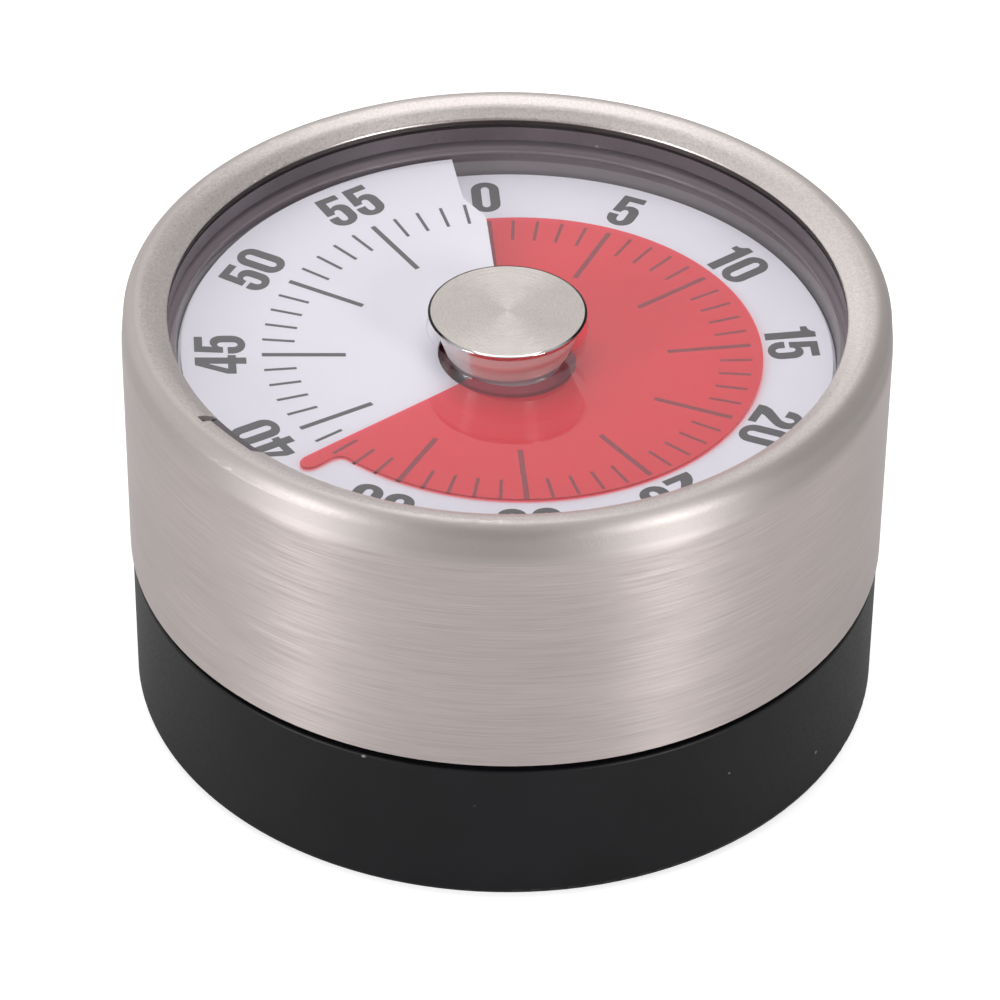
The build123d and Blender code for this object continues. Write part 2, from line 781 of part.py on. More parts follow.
def film_disc():
    first = rest_minutes - film_span_minutes - trim_minutes
    last = rest_minutes + trim_minutes
    lift = film_gap + film_sheet
    sheet = ramp_sheet(hub_radius - overlap, pointer_reach + overrun, first, last, lift, film_sheet)
    return sheet & plate_from(film_outline(), well_floor_top, lens_bottom - well_floor_top)


def film_hub():
    bore = stem_radius + hub_play
    sleeve = tube(hub_radius, bore, hub_bottom, hub_top)
    web = rod(hub_radius, hub_bottom, hub_bottom + hub_web)
    return sleeve + (web - driving_section(hub_play, hub_bottom - overrun, hub_bottom + hub_web + overrun))


def driving_section(play, bottom, top):
    """Round bar with two flats, as the arbor drives the hub."""
    across = 2.0 * (arbor_flat + play)
    length = 2.0 * (arbor_radius + play)
    flats = Pos(0, 0, (bottom + top) / 2.0) * Box(length, across, top - bottom)
    return rod(arbor_radius + play, bottom, top) & flats


def setting_knob():
    waist = stem_radius + (knob_radius - stem_radius) * skirt_waist_spread
    waist_level = skirt_bottom + skirt_height * skirt_waist_share
    profile = Polyline(
        (0, stem_bottom),
        (stem_radius, stem_bottom),
        (stem_radius, skirt_bottom),
    )
    skirt = ThreePointArc((stem_radius, skirt_bottom), (waist, waist_level), (knob_radius, skirt_top))
    crown = Polyline(
        (knob_radius, skirt_top),
        (knob_radius, knob_rim),
        (knob_radius - knob_bevel, knob_top),
        (0, knob_top),
        (0, stem_bottom),
    )
    face = make_face(profile.edges() + skirt.edges() + crown.edges())
    knob = revolve(Plane.XZ * face, Axis.Z)
    return knob - rod(arbor_radius + seat_play, stem_bottom - overrun, knob_top - arbor_knob_depth)


# ---------------------------------------------------------------- movement frame
def frame_plate(bottom, bores):
    """Round movement plate with a bore for each (place, radius)."""
    plate = rod(plate_radius, bottom, bottom + plate_thickness)
    for place, radius in bores:
        plate -= rod(radius, bottom - overrun, bottom + plate_thickness + overrun, place)
    return plate


def pivot_bores():
    places = (second_place, third_place, escape_place, pallet_place)
    return [(place, pivot_radius + pivot_play) for place in places]


def upper_plate():
    bores = pivot_bores() + [((0.0, 0.0), arbor_radius + arbor_play)]
    for angle in pillar_angles:
        bores.append((polar(pillar_circle, angle), pillar_thread_radius + screw_play))
    return frame_plate(upper_plate_bottom, bores)


def lower_plate():
    bores = pivot_bores() + [((0.0, 0.0), arbor_radius + arbor_play)]
    for angle in pillar_angles:
        bores.append((polar(pillar_circle, angle), pillar_stud_radius))
    bores.append((hammer_place, arbor_rod_radius))
    bores.append((spring_post_place(), post_radius * rivet_share))
    return frame_plate(lower_plate_bottom, bores)


def frame_pillars():
    pillars = []
    for angle in pillar_angles:
        place = polar(pillar_circle, angle)
        pillar = rod(pillar_radius, lower_plate_top, upper_plate_bottom, place)
        stud_bottom = lower_plate_bottom - nut_height
        pillar += rod(pillar_stud_radius, stud_bottom, lower_plate_top + overlap, place)
        thread_bottom = upper_plate_bottom - pillar_thread_depth
        thread_top = upper_plate_bottom + overrun
        pillar -= rod(pillar_thread_radius + thread_play, thread_bottom, thread_top, place)
        pillars.append(pillar)
    return group(pillars)


def pillar_nuts():
    nuts = []
    hexagon = RegularPolygon(nut_across_flats / 2.0, 6, major_radius=False)
    bottom = lower_plate_bottom - nut_height
    for angle in pillar_angles:
        place = polar(pillar_circle, angle)
        nut = plate_from(hexagon, bottom, nut_height)
        nut -= rod(pillar_stud_radius + thread_play, bottom - overrun, lower_plate_bottom + overrun)
        nuts.append(Pos(place[0], place[1], 0) * nut)
    return group(nuts)


def frame_screws():
    screws = []
    head_top = well_floor_top + frame_screw_head
    tip = upper_plate_bottom - pillar_thread_depth + frame_screw_end_gap
    for angle in pillar_angles:
        screw = rod(frame_screw_head_radius, well_floor_top, head_top)
        screw += rod(pillar_thread_radius, tip, well_floor_top + overlap)
        screw -= cross_recess(frame_screw_head_radius, head_top, up=True)
        place = polar(pillar_circle, angle)
        screws.append(Pos(place[0], place[1], 0) * screw)
    return group(screws)


# ---------------------------------------------------------------- main arbor, ratchet and mainspring
def main_arbor():
    collar_bottom = lower_plate_top + end_play
    arbor = rod(arbor_radius, lower_plate_bottom, knob_top - arbor_knob_depth - seat_play)
    arbor += rod(arbor_foot_radius, cam_bottom - arbor_foot_reach, lower_plate_bottom + overlap)
    arbor += rod(arbor_collar_radius, collar_bottom, collar_bottom + arbor_collar_height)
    travel_top = stem_bottom
    travel_bottom = well_floor_top + arbor_flats_gap
    shaft = rod(arbor_radius + overrun, travel_bottom, travel_top)
    return arbor - (shaft - driving_section(0.0, travel_bottom - overrun, travel_top + overrun))


def pierced(wheel, holes, bottom, thickness):
    """Wheel with round lightening holes, given as (circle, radius, number)."""
    circle, hole_radius, count = holes
    for index in range(count):
        place = polar(circle, 360.0 * index / count)
        wheel -= rod(hole_radius, bottom - overrun, bottom + thickness + overrun, place)
    return wheel


def main_wheel():
    bottom = lower_plate_top + main_wheel_level
    outline = gear_outline(main_teeth, first_module, wheel_addendum, wheel_dedendum, main_tooth_angle)
    wheel = plate_from(outline, bottom, main_wheel_thickness)
    return wheel - rod(arbor_radius + seat_play, bottom - overrun, bottom + 2.0 * overrun)


def ratchet_level():
    return lower_plate_top + main_wheel_level - ratchet_thickness


def ratchet_wheel():
    bottom = ratchet_level()
    outline = saw_outline(ratchet_teeth, ratchet_tip_radius, ratchet_root_radius)
    wheel = plate_from(outline, bottom, ratchet_thickness)
    return wheel - rod(arbor_radius + seat_play, bottom - overrun, bottom + 2.0 * overrun)


def click():
    """Pawl on the main wheel, its beak beside the ratchet wheel."""
    bottom = ratchet_level()
    place = polar(click_pivot_radius, click_direction)
    beak = polar(ratchet_tip_radius + click_gap, click_direction + click_span)
    heading = degrees(atan2(beak[1] - place[1], beak[0] - place[0]))
    length = hypot(beak[0] - place[0], beak[1] - place[1])
    bar = Rectangle(length, click_width * click_beak_share, align=(Align.MIN, Align.CENTER))
    bar += Circle(click_width)
    outline = Pos(place[0], place[1]) * Rot(0, 0, heading) * bar
    return plate_from(outline, bottom, ratchet_thickness)


def click_spring():
    """Bent wire that presses the click towards the ratchet wheel."""
    middle = ratchet_level() + ratchet_thickness / 2.0
    start_angle = click_direction - click_spring_lag_angle
    arc_radius = click_pivot_radius + click_width + click_spring_wire
    start = polar(arc_radius, start_angle)
    halfway = polar(arc_radius, start_angle - click_spring_bend_angle / 2.0)
    end = polar(arc_radius, start_angle - click_spring_bend_angle)
    strip = ThreePointArc((*start, middle), (*halfway, middle), (*end, middle))
    section = Plane(origin=strip @ 0, z_dir=strip % 0) * Rectangle(click_spring_wire, ratchet_thickness)
    bottom = ratchet_level()
    post = rod(click_spring_post_radius, bottom, bottom + ratchet_thickness, end)
    return sweep(section, path=strip) + post


def spring_post_place():
    return (-(spring_outer_radius + spring_strip / 2.0 + post_radius + spring_post_gap), 0.0)


def mainspring():
    """Flat spiral strip of half turns, from the arbor out to its post."""
    step = (spring_outer_radius - spring_inner_radius) / (2.0 * spring_turns)
    strip = []
    radius = spring_inner_radius
    x = radius
    sign = 1
    for _ in range(2 * spring_turns):
        following = radius + step / 2.0
        centre = x - sign * following
        end = centre - sign * following
        strip.append(ThreePointArc((x, 0), (centre, sign * following), (end, 0)))
        x = end
        radius = following + step / 2.0
        sign = -sign
    path = Wire(strip_edges(strip))
    section = Plane(origin=path @ 0, z_dir=path % 0, x_dir=(1, 0, 0))
    blade = sweep(section * Rectangle(spring_strip, spring_height), path=path, transition=Transition.ROUND)
    return Pos(0, 0, lower_plate_top + spring_level + spring_height / 2.0) * blade


def strip_edges(curves):
    edges = []
    for curve in curves:
        edges.extend(curve.edges())
    return edges


def spring_post():
    place = spring_post_place()
    top = lower_plate_top + spring_level + spring_height + spring_post_rise
    post = rod(post_radius, lower_plate_top, top, place)
    return post + rod(post_radius * rivet_share, lower_plate_bottom, top, place)


# ---------------------------------------------------------------- going train
def pivoted_rod(place):
    """Plain arbor between the plates with a pivot at each end."""
    arbor = rod(arbor_rod_radius, lower_plate_top + end_play, upper_plate_bottom - end_play, place)
    return arbor + rod(pivot_radius, lower_plate_bottom + end_play, plate_top_z - end_play, place)


def pinion_arbor(place, teeth, module, tooth_angle, leaf_bottom, leaf_top):
    """Arbor between the plates with its pinion leaves cut on it."""
    outline = gear_outline(teeth, module, pinion_addendum, pinion_dedendum, tooth_angle)
    leaves = Pos(place[0], place[1], 0) * plate_from(outline, leaf_bottom, leaf_top - leaf_bottom)
    return pivoted_rod(place) + leaves


def train_wheel(place, outline, level, thickness, holes):
    """Wheel on an arbor: the toothed plate, its lightening holes and its collet."""
    bottom = lower_plate_top + level
    wheel = plate_from(outline, bottom, thickness)
    if holes:
        wheel = pierced(wheel, holes, bottom, thickness)
    wheel += rod(wheel_hub_radius, bottom - thickness, bottom + thickness / 2.0)
    wheel -= rod(arbor_rod_radius + seat_play, bottom - thickness - overrun, bottom + thickness + overrun)
    return Pos(place[0], place[1], 0) * wheel


def second_wheel():
    outline = gear_outline(second_teeth, second_module, wheel_addendum, wheel_dedendum, second_tooth_angle)
    return train_wheel(
        second_place, outline, second_wheel_level, second_wheel_thickness, second_wheel_holes
    )


def second_pinion():
    bottom = lower_plate_top + main_wheel_level - pinion_overhang
    top = lower_plate_top + main_wheel_level + main_wheel_thickness + second_pinion_rise
    return pinion_arbor(second_place, second_pinion_teeth, first_module, second_pinion_angle, bottom, top)


def third_wheel():
    outline = gear_outline(third_teeth, third_module, wheel_addendum, wheel_dedendum, third_tooth_angle)
    return train_wheel(third_place, outline, third_wheel_level, third_wheel_thickness, third_wheel_holes)


def third_pinion():
    bottom = lower_plate_top + second_wheel_level - pinion_overhang
    top = bottom + second_wheel_thickness + 2.0 * pinion_overhang
    return pinion_arbor(third_place, third_pinion_teeth, second_module, third_pinion_angle, bottom, top)


def escape_wheel():
    outline = pointed_outline(
        escape_teeth,
        escape_tip_radius,
        escape_root_radius,
        escape_tooth_angle,
        escape_root_share,
        escape_tip_share,
    )
    return train_wheel(escape_place, outline, escape_wheel_level, escape_wheel_thickness, None)


def escape_pinion():
    bottom = lower_plate_top + third_wheel_level - pinion_overhang
    top = bottom + third_wheel_thickness + 2.0 * pinion_overhang
    return pinion_arbor(escape_place, escape_pinion_teeth, third_module, escape_pinion_angle, bottom, top)


# ---------------------------------------------------------------- pallet
def pallet_pin_places():
    reach = escape_tip_radius + pallet_pin_gap + pallet_pin_radius
    places = []
    for side in (1.0, -1.0):
        places.append(offset_point(escape_place, reach, pallet_direction + side * pallet_pin_angle))
    return places


def pallet_lever():
    bottom = lower_plate_top + pallet_level
    outline = Pos(*pallet_place) * Circle(pallet_hub_radius)
    for pin in pallet_pin_places():
        dx = pin[0] - pallet_place[0]
        dy = pin[1] - pallet_place[1]
        arm = Rectangle(hypot(dx, dy), pallet_arm_width, align=(Align.MIN, Align.CENTER))
        outline += Pos(*pallet_place) * Rot(0, 0, degrees(atan2(dy, dx))) * arm
        outline += Pos(*pin) * Circle(pallet_arm_width / 2.0)
    tail = Rectangle(bob_arm, pallet_arm_width, align=(Align.MIN, Align.CENTER))
    outline += Pos(*pallet_place) * Rot(0, 0, pallet_direction) * tail
    lever = plate_from(outline, bottom, pallet_thickness)
    return lever - rod(arbor_rod_radius + seat_play, bottom - overrun, bottom + 2.0 * overrun, pallet_place)


def pallet_pins():
    top = lower_plate_top + pallet_level
    bottom = lower_plate_top + escape_wheel_level - pallet_pin_reach
    return group([rod(pallet_pin_radius, bottom, top, place) for place in pallet_pin_places()])


def pallet_arbor():
    return pivoted_rod(pallet_place)


def pallet_bob():
    bottom = lower_plate_top + pallet_level + pallet_thickness
    place = offset_point(pallet_place, bob_arm, pallet_direction)
    return rod(bob_radius, bottom, bottom + bob_thickness, place)


# ---------------------------------------------------------------- bell and hammer
def bell():
    bend = bell_seat + bell_rise
    inner_bend = bend + bell_sheet * bell_bend_rise_share
    return turned([
        (bell_hole_radius, bell_seat, 0),
        (bell_flat_radius, bell_seat, bell_crown_radius),
        (bell_radius, bend, bell_bend),
        (bell_radius, bell_rim, 0),
        (bell_bore, bell_rim, 0),
        (bell_bore, inner_bend, bell_bend - bell_sheet),
        (bell_flat_radius, bell_seat + bell_sheet, bell_crown_radius),
        (bell_hole_radius, bell_seat + bell_sheet, 0),
    ])


def bell_screw():
    head_bottom = bell_seat + bell_sheet
    head_top = head_bottom + bell_screw_head
    screw = rod(bell_screw_head_radius, head_bottom, head_top)
    screw += rod(screw_radius, magnet_top + bell_thread_floor + end_play, head_bottom + overlap)
    return screw - cross_recess(bell_screw_head_radius, head_top, up=True)


def strike_cam():
    """Disc that drops the hammer's tail once a turn, at zero."""
    outline = Circle(cam_radius)
    step = Pos(cam_radius, 0) * Rectangle(2.0 * cam_notch, cam_radius, align=(Align.CENTER, Align.MAX))
    outline -= Rot(0, 0, -90.0) * step
    cam = plate_from(outline, cam_bottom, cam_thickness)
    return cam - rod(arbor_foot_radius + seat_play, cam_bottom - overrun, cam_top + overrun)


def hammer_arm():
    dx = hammer_head_place[0] - hammer_place[0]
    dy = hammer_head_place[1] - hammer_place[1]
    arm = Rectangle(hypot(dx, dy), hammer_arm_width, align=(Align.MIN, Align.CENTER))
    tail = Rectangle(hammer_tail_length, hammer_arm_width, align=(Align.MIN, Align.CENTER))
    outline = Rot(0, 0, degrees(atan2(dy, dx))) * arm + tail + Circle(hammer_hub_radius)
    lever = plate_from(Pos(*hammer_place) * outline, cam_bottom, cam_thickness)
    return lever - rod(arbor_rod_radius + pivot_play, cam_bottom - overrun, cam_top + overrun, hammer_place)


def hammer_head():
    return rod(hammer_head_radius, cam_bottom - hammer_head_length, cam_bottom, hammer_head_place)


def hammer_post():
    """Post under the lower plate that the hammer swings on, with a collar and a riveted foot."""
    foot_top = cam_bottom - end_play
    foot_bottom = foot_top - hammer_collar
    post = rod(arbor_rod_radius, foot_bottom, lower_plate_top, hammer_place)
    post += rod(hammer_collar_radius, cam_top + end_play, lower_plate_bottom, hammer_place)
    return post + rod(hammer_collar_radius, foot_bottom, foot_top, hammer_place)


# ---------------------------------------------------------------- write the parts
parts = {
    "steel_shell": steel_shell,
    "base_housing": base_housing,
    "foot_ring": foot_ring,
    "base_magnet": base_magnet,
    "case_screws": case_screws,
    "dial_well": dial_well,
    "lens": lens,
    "lens_ring": lens_ring,
    "ramp_ring": ramp_ring,
    "dial_plate": dial_plate,
    "film_disc": film_disc,
    "film_hub": film_hub,
    "setting_knob": setting_knob,
    "upper_plate": upper_plate,
    "lower_plate": lower_plate,
    "frame_pillars": frame_pillars,
    "pillar_nuts": pillar_nuts,
    "frame_screws": frame_screws,
    "main_arbor": main_arbor,
    "main_wheel": main_wheel,
    "ratchet_wheel": ratchet_wheel,
    "click": click,
    "click_spring": click_spring,
    "mainspring": mainspring,
    "spring_post": spring_post,
    "second_wheel": second_wheel,
    "second_pinion": second_pinion,
    "third_wheel": third_wheel,
    "third_pinion": third_pinion,
    "escape_wheel": escape_wheel,
    "escape_pinion": escape_pinion,
    "pallet_lever": pallet_lever,
    "pallet_pins": pallet_pins,
    "pallet_arbor": pallet_arbor,
    "pallet_bob": pallet_bob,
    "bell": bell,
    "bell_screw": bell_screw,
    "strike_cam": strike_cam,
    "hammer_arm": hammer_arm,
    "hammer_head": hammer_head,
    "hammer_post": hammer_post,
}

os.makedirs("parts", exist_ok=True)
for name, make in parts.items():
    export_step(make(), f"parts/{name}.step")
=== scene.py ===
"""Looks of a wind-up 60-minute visual timer: steel drum, ramp dial, red film, lens and knob."""
from math import atan2, cos, degrees, hypot, pi, radians, sin, sqrt, tan

import bmesh
import bpy
from mathutils import Matrix, Vector
from mathutils.geometry import tessellate_polygon


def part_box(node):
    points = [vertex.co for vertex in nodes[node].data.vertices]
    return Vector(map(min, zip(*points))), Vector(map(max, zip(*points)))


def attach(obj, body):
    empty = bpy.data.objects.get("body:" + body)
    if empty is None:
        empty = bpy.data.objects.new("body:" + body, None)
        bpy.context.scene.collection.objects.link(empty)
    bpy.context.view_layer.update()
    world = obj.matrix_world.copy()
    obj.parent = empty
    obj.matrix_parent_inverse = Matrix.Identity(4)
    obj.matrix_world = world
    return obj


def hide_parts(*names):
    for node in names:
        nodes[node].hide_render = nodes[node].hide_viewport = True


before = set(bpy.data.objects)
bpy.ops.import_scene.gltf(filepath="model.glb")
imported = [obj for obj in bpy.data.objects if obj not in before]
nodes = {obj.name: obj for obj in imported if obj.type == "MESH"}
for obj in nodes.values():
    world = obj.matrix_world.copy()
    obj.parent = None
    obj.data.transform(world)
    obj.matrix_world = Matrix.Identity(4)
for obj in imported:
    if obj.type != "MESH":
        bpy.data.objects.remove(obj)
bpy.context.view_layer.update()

bl_info = {
    "name": "Wind-up visual timer",
    "version": (1, 0, 0),
    "blender": (4, 5, 0),
    "location": "View3D > Sidebar > Timer",
    "description": "Finishes a wind-up timer: brushed drum, printed dial, red film, lens and knob",
    "category": "Add Mesh",
}

MM = 0.001
MINUTES = 60
MINUTES_PER_NUMERAL = 5
DEGREES_PER_MINUTE = 6.0
ROUND_SEGMENTS = 192             # straight sides that make up a turned piece's circle
WHITE = (1.0, 1.0, 1.0)
DUST = (0.25, 0.24, 0.24)
PATTERN_RANGE = (0.3, 0.7)       # where most of a noise pattern lies
LENS_IOR = 1.42
FILM_IOR = 1.44
FILM_HAZE = 0.16                 # share of the light that the film scatters
BARE_FILM_HAZE = 0.30            # the same inside the lens's hole, where no lens covers the film
BARE_FILM_RADII = (6.9 * MM, 7.1 * MM)

# Where the drum's finish changes and where painted shade darkens it, as drops from its crest and as
# radii.
RIM_DROPS = (4.0 * MM, 2.2 * MM)
SHADED_SHOULDER_DROPS = (4.2 * MM, 2.8 * MM)
SHADED_SHOULDER_RADII = (37.0 * MM, 37.7 * MM)
LIP_GAP_SHADE_DROPS = (1.42 * MM, 1.32 * MM)
LIP_GAP_SHADE_RADII = (34.9 * MM, 35.2 * MM)

# Where painted light makes the shaded seat round the dial paler, as drops from the lens's underside and
# as radii.
PAINTED_SEAT_LIGHT_DROPS = (0.2 * MM, 0.05 * MM)
PAINTED_SEAT_LIGHT_RADII = (33.3 * MM, 34.5 * MM)

# The painted shade line round the knob's top: its width, its drops below the top, and the heading's Y
# where it fades out towards the near side.
SHADE_LINE_WIDTH = 0.04 * MM
SHADE_LINE_DROPS = (0.12 * MM, 0.09 * MM)
SHADE_LINE_HEADINGS = (-0.80, -0.55)
POLISHED_EDGE_DROPS = (0.6 * MM, 0.3 * MM)
BARE_METAL_DROPS = (0.75 * MM, 0.6 * MM)

# Each softbox: its place, its size and its power in watts.
SOFTBOXES = {
    "left_softbox": ((-0.62, -0.45, 0.20), (0.20, 0.45), 3.25),
    "right_softbox": ((0.53, -0.55, 0.20), (0.20, 0.45), 3.7),
    "top_softbox": ((0.0, 0.30, 0.70), (0.36, 0.36), 0.7),
    "fill_softbox": ((0.0, -0.05, 0.75), (0.60, 0.60), 1.85),
}


# ---------------------------------------------------------------- settings
def length(name, description, default):
    """A size in metres."""
    return bpy.props.FloatProperty(
        name=name, description=description, default=default, min=0.0, unit="LENGTH", precision=5
    )


def colour(name, description, default):
    """A colour of three channels."""
    return bpy.props.FloatVectorProperty(
        name=name, description=description, default=default, size=3, min=0.0, max=1.0,
        subtype="COLOR"
    )


def factor(name, description, default):
    """A share from 0 to 1."""
    return bpy.props.FloatProperty(
        name=name, description=description, default=default, min=0.0, max=1.0, subtype="FACTOR"
    )


def angle(name, description, default):
    """An angle in radians."""
    return bpy.props.FloatProperty(
        name=name, description=description, default=default, subtype="ANGLE"
    )


def position(name, description, default):
    """A point in metres."""
    return bpy.props.FloatVectorProperty(
        name=name, description=description, default=default, size=3, subtype="TRANSLATION",
        unit="LENGTH"
    )


class TimerDialSizes(bpy.types.PropertyGroup):
    """The dial's ramp and what is printed on it."""

    zero_tilt: angle("Zero tilt", "How far the 0 mark stands before the far side", radians(4.86))
    level: length("Level", "Height of the dial's top at minute 0", 38.49 * MM)
    level_radius: length("Level radius", "Radius at which the level is taken", 20.0 * MM)
    pitch: length("Pitch", "Rise over one turn", 2.3 * MM)
    dish: factor("Dish", "Rise per length outward", 0.048)
    ink: length("Ink", "Thickness of the print", 0.03 * MM)
    tick_outer: length("Tick outer", "Outer end of every tick", 24.9 * MM)
    tick_inner: length("Tick inner", "Inner end of a minute tick", 21.6 * MM)
    long_tick_inner: length("Long tick inner", "Inner end of a five-minute tick", 16.4 * MM)
    tick_width: length("Tick width", "Width of a minute tick", 0.34 * MM)
    long_tick_width: length("Long tick width", "Width of a five-minute tick", 0.54 * MM)
    numeral_radius: length("Numeral radius", "Radius of the numerals' feet", 26.5 * MM)
    numeral_height: length("Numeral height", "Height of a numeral", 5.2 * MM)
    numeral_width: length("Numeral width", "Width of one figure", 3.0 * MM)
    numeral_gap: length("Numeral gap", "Space between two figures", 0.4 * MM)


class TimerGlazingSizes(bpy.types.PropertyGroup):
    """The clear lens over the dial, and the red film under it."""

    hole_radius: length("Hole radius", "Radius of the knob's hole in the lens", 8.12 * MM)
    dome: length("Dome", "Rise of the lens towards its hole", 0.4 * MM)
    bevel: length("Bevel", "Polished bevel along the lens's edges", 0.12 * MM)
    seat_gap: length("Seat gap", "Air left between the lens and its seats", 0.04 * MM)
    film_radius: length("Film radius", "Radius of the red film's edge", 25.17 * MM)
    film_full_radius: length(
        "Film blank radius", "Radius of the sheet the film is cut from", 26.2 * MM
    )
    film_offset: length("Film offset", "How far the film's edge is off the axis", 0.85 * MM)
    film_offset_minute: bpy.props.FloatProperty(
        name="Film offset minute",
        description="Minute towards which the film's edge is off the axis",
        default=18.5,
    )
    film_bore: length("Film bore", "Radius of the film's bore", 5.55 * MM)


class TimerKnobSizes(bpy.types.PropertyGroup):
    """The setting knob and the sleeve that carries the film."""

    radius: length("Radius", "Radius of the knob's top", 8.06 * MM)
    bevel: length("Bevel", "Width of the polished bevel round the knob's top", 0.17 * MM)
    bevel_angle: angle("Bevel angle", "Slope of that bevel", radians(20.0))
    edge: length("Edge", "Rounding of the knob's edge", 0.07 * MM)
    rim: length("Rim", "Height of the rim under its rounding", 0.26 * MM)
    foot_radius: length("Foot radius", "Outer radius of the bowl's foot", 6.4 * MM)
    foot_drop: length("Foot drop", "Top of the knob to the bowl's foot", 4.2 * MM)
    belly_radius: length("Belly radius", "Radius that the bowl's curve leans towards", 6.9 * MM)
    belly_drop: length("Belly drop", "Drop at which the bowl's curve leans out", 2.5 * MM)
    recess_radius: length("Recess radius", "Outer radius of the recess for the sleeve", 5.7 * MM)
    recess_drop: length("Recess drop", "Top of the knob to the recess's roof", 2.4 * MM)
    stem_radius: length("Stem radius", "Radius of the stem in the sleeve", 5.15 * MM)
    stem_drop: length("Stem drop", "Top of the knob to the stem's end", 6.35 * MM)
    bore_radius: length("Bore radius", "Radius of the bore for the arbor", 2.06 * MM)
    sleeve_radius: length("Sleeve radius", "Outer radius of the film's sleeve", 5.55 * MM)
    sleeve_bore: length("Sleeve bore", "Inner radius of the film's sleeve", 5.2 * MM)
    web: length("Web", "Thickness of the sleeve's bottom", 1.0 * MM)


class TimerColours(bpy.types.PropertyGroup):
    """The finishes' colours."""

    steel: colour("Steel", "Brushed drum", (0.66, 0.583, 0.563))
    rim: colour("Rim", "Satin rim of the drum", (0.675, 0.618, 0.598))
    knob: colour("Knob", "Brushed top of the knob", (0.75, 0.69, 0.655))
    polished: colour("Polished", "Polished edges", (0.70, 0.68, 0.67))
    base: colour("Base", "Moulded base", (0.0068, 0.0060, 0.0072))
    well: colour("Well", "Wall round the dial", (0.13, 0.11, 0.122))
    dial: colour("Dial", "Dial plate", (0.73, 0.705, 0.785))
    ink: colour("Ink", "Printed ticks and numerals", (0.083, 0.078, 0.085))
    film: colour("Film", "Light that the red film lets through", (1.0, 0.02, 0.045))
    film_edge: colour(
        "Film edge", "Light that the film's cut edge lets through", (0.36, 0.03, 0.05)
    )
    haze: colour("Haze", "Light that the red film scatters", (1.0, 0.20, 0.30))
    rubber: colour("Rubber", "Foot ring", (0.02, 0.02, 0.02))
    brass: colour("Brass", "Plates and wheels of the movement", (0.63, 0.46, 0.19))
    bright_steel: colour("Bright steel", "Arbors, screws and springs", (0.50, 0.50, 0.51))
    magnet: colour("Magnet", "Plated base magnet", (0.62, 0.61, 0.60))
    bell: colour("Bell", "Plated bell", (0.66, 0.66, 0.67))
    floor: colour("Floor", "Studio floor", (0.56, 0.56, 0.56))


class TimerStage(bpy.types.PropertyGroup):
    """Floor and camera."""

    floor_size: length("Floor size", "Side of the studio floor", 6.0)
    floor_glow: factor("Floor glow", "Light of its own that the floor shows to the camera", 0.68)
    focal_length: bpy.props.FloatProperty(
        name="Focal length", description="Camera lens, in millimetres", default=177.9, min=1.0
    )
    camera_place: position("Camera place", "Where the camera stands", (0.0, -0.4073, 0.3337))
    camera_target: position("Camera target", "Point that the camera looks at", (0.0, 0.0, 0.0177))
    camera_roll: angle("Camera roll", "Turn of the camera about its own view", 0.0114)
    camera_shift: bpy.props.FloatVectorProperty(
        name="Camera shift",
        description="Shift of the frame, as shares of its width",
        default=(-0.0052, 0.0225),
        size=2,
    )


# ---------------------------------------------------------------- materials
class Nodes:
    """Shader nodes under construction."""

    def __init__(self, tree):
        self.tree = tree

    def add(self, kind, settings=None, **inputs):
        """New node; settings are its own attributes, inputs are sockets by name."""
        node = self.tree.nodes.new(kind)
        for key, value in (settings or {}).items():
            setattr(node, key, value)
        for key, value in inputs.items():
            self.put(node, key.replace("_", " "), value)
        return node

    def put(self, node, key, value):
        """Link or write a value into a node's socket, found by its name or its number."""
        socket = node.inputs[int(key)] if key.isdigit() else node.inputs[key]
        if isinstance(value, bpy.types.NodeSocket):
            self.tree.links.new(value, socket)
        else:
            socket.default_value = value

    def math(self, operation, first, second=0.0):
        node = self.add("ShaderNodeMath", {"operation": operation})
        self.put(node, "0", first)
        self.put(node, "1", second)
        return node.outputs[0]

    def mix(self, share, first, second):
        """Number: first where the share is 0, second where it is 1."""
        node = self.add("ShaderNodeMix", {"data_type": "FLOAT"})
        for key, value in (("0", share), ("2", first), ("3", second)):
            self.put(node, key, value)
        return node.outputs[0]

    def axis(self, vector, name):
        """One of a vector's X, Y and Z."""
        return self.add("ShaderNodeSeparateXYZ", Vector=vector).outputs[name]

    def spread(self, value, low, high, start=0.0, end=1.0, kind="LINEAR"):
        """Value from start..end turned into low..high."""
        node = self.add("ShaderNodeMapRange", {"interpolation_type": kind}, Value=value)
        ends = (("From Min", start), ("From Max", end), ("To Min", low), ("To Max", high))
        for key, number in ends:
            node.inputs[key].default_value = number
        return node.outputs[0]


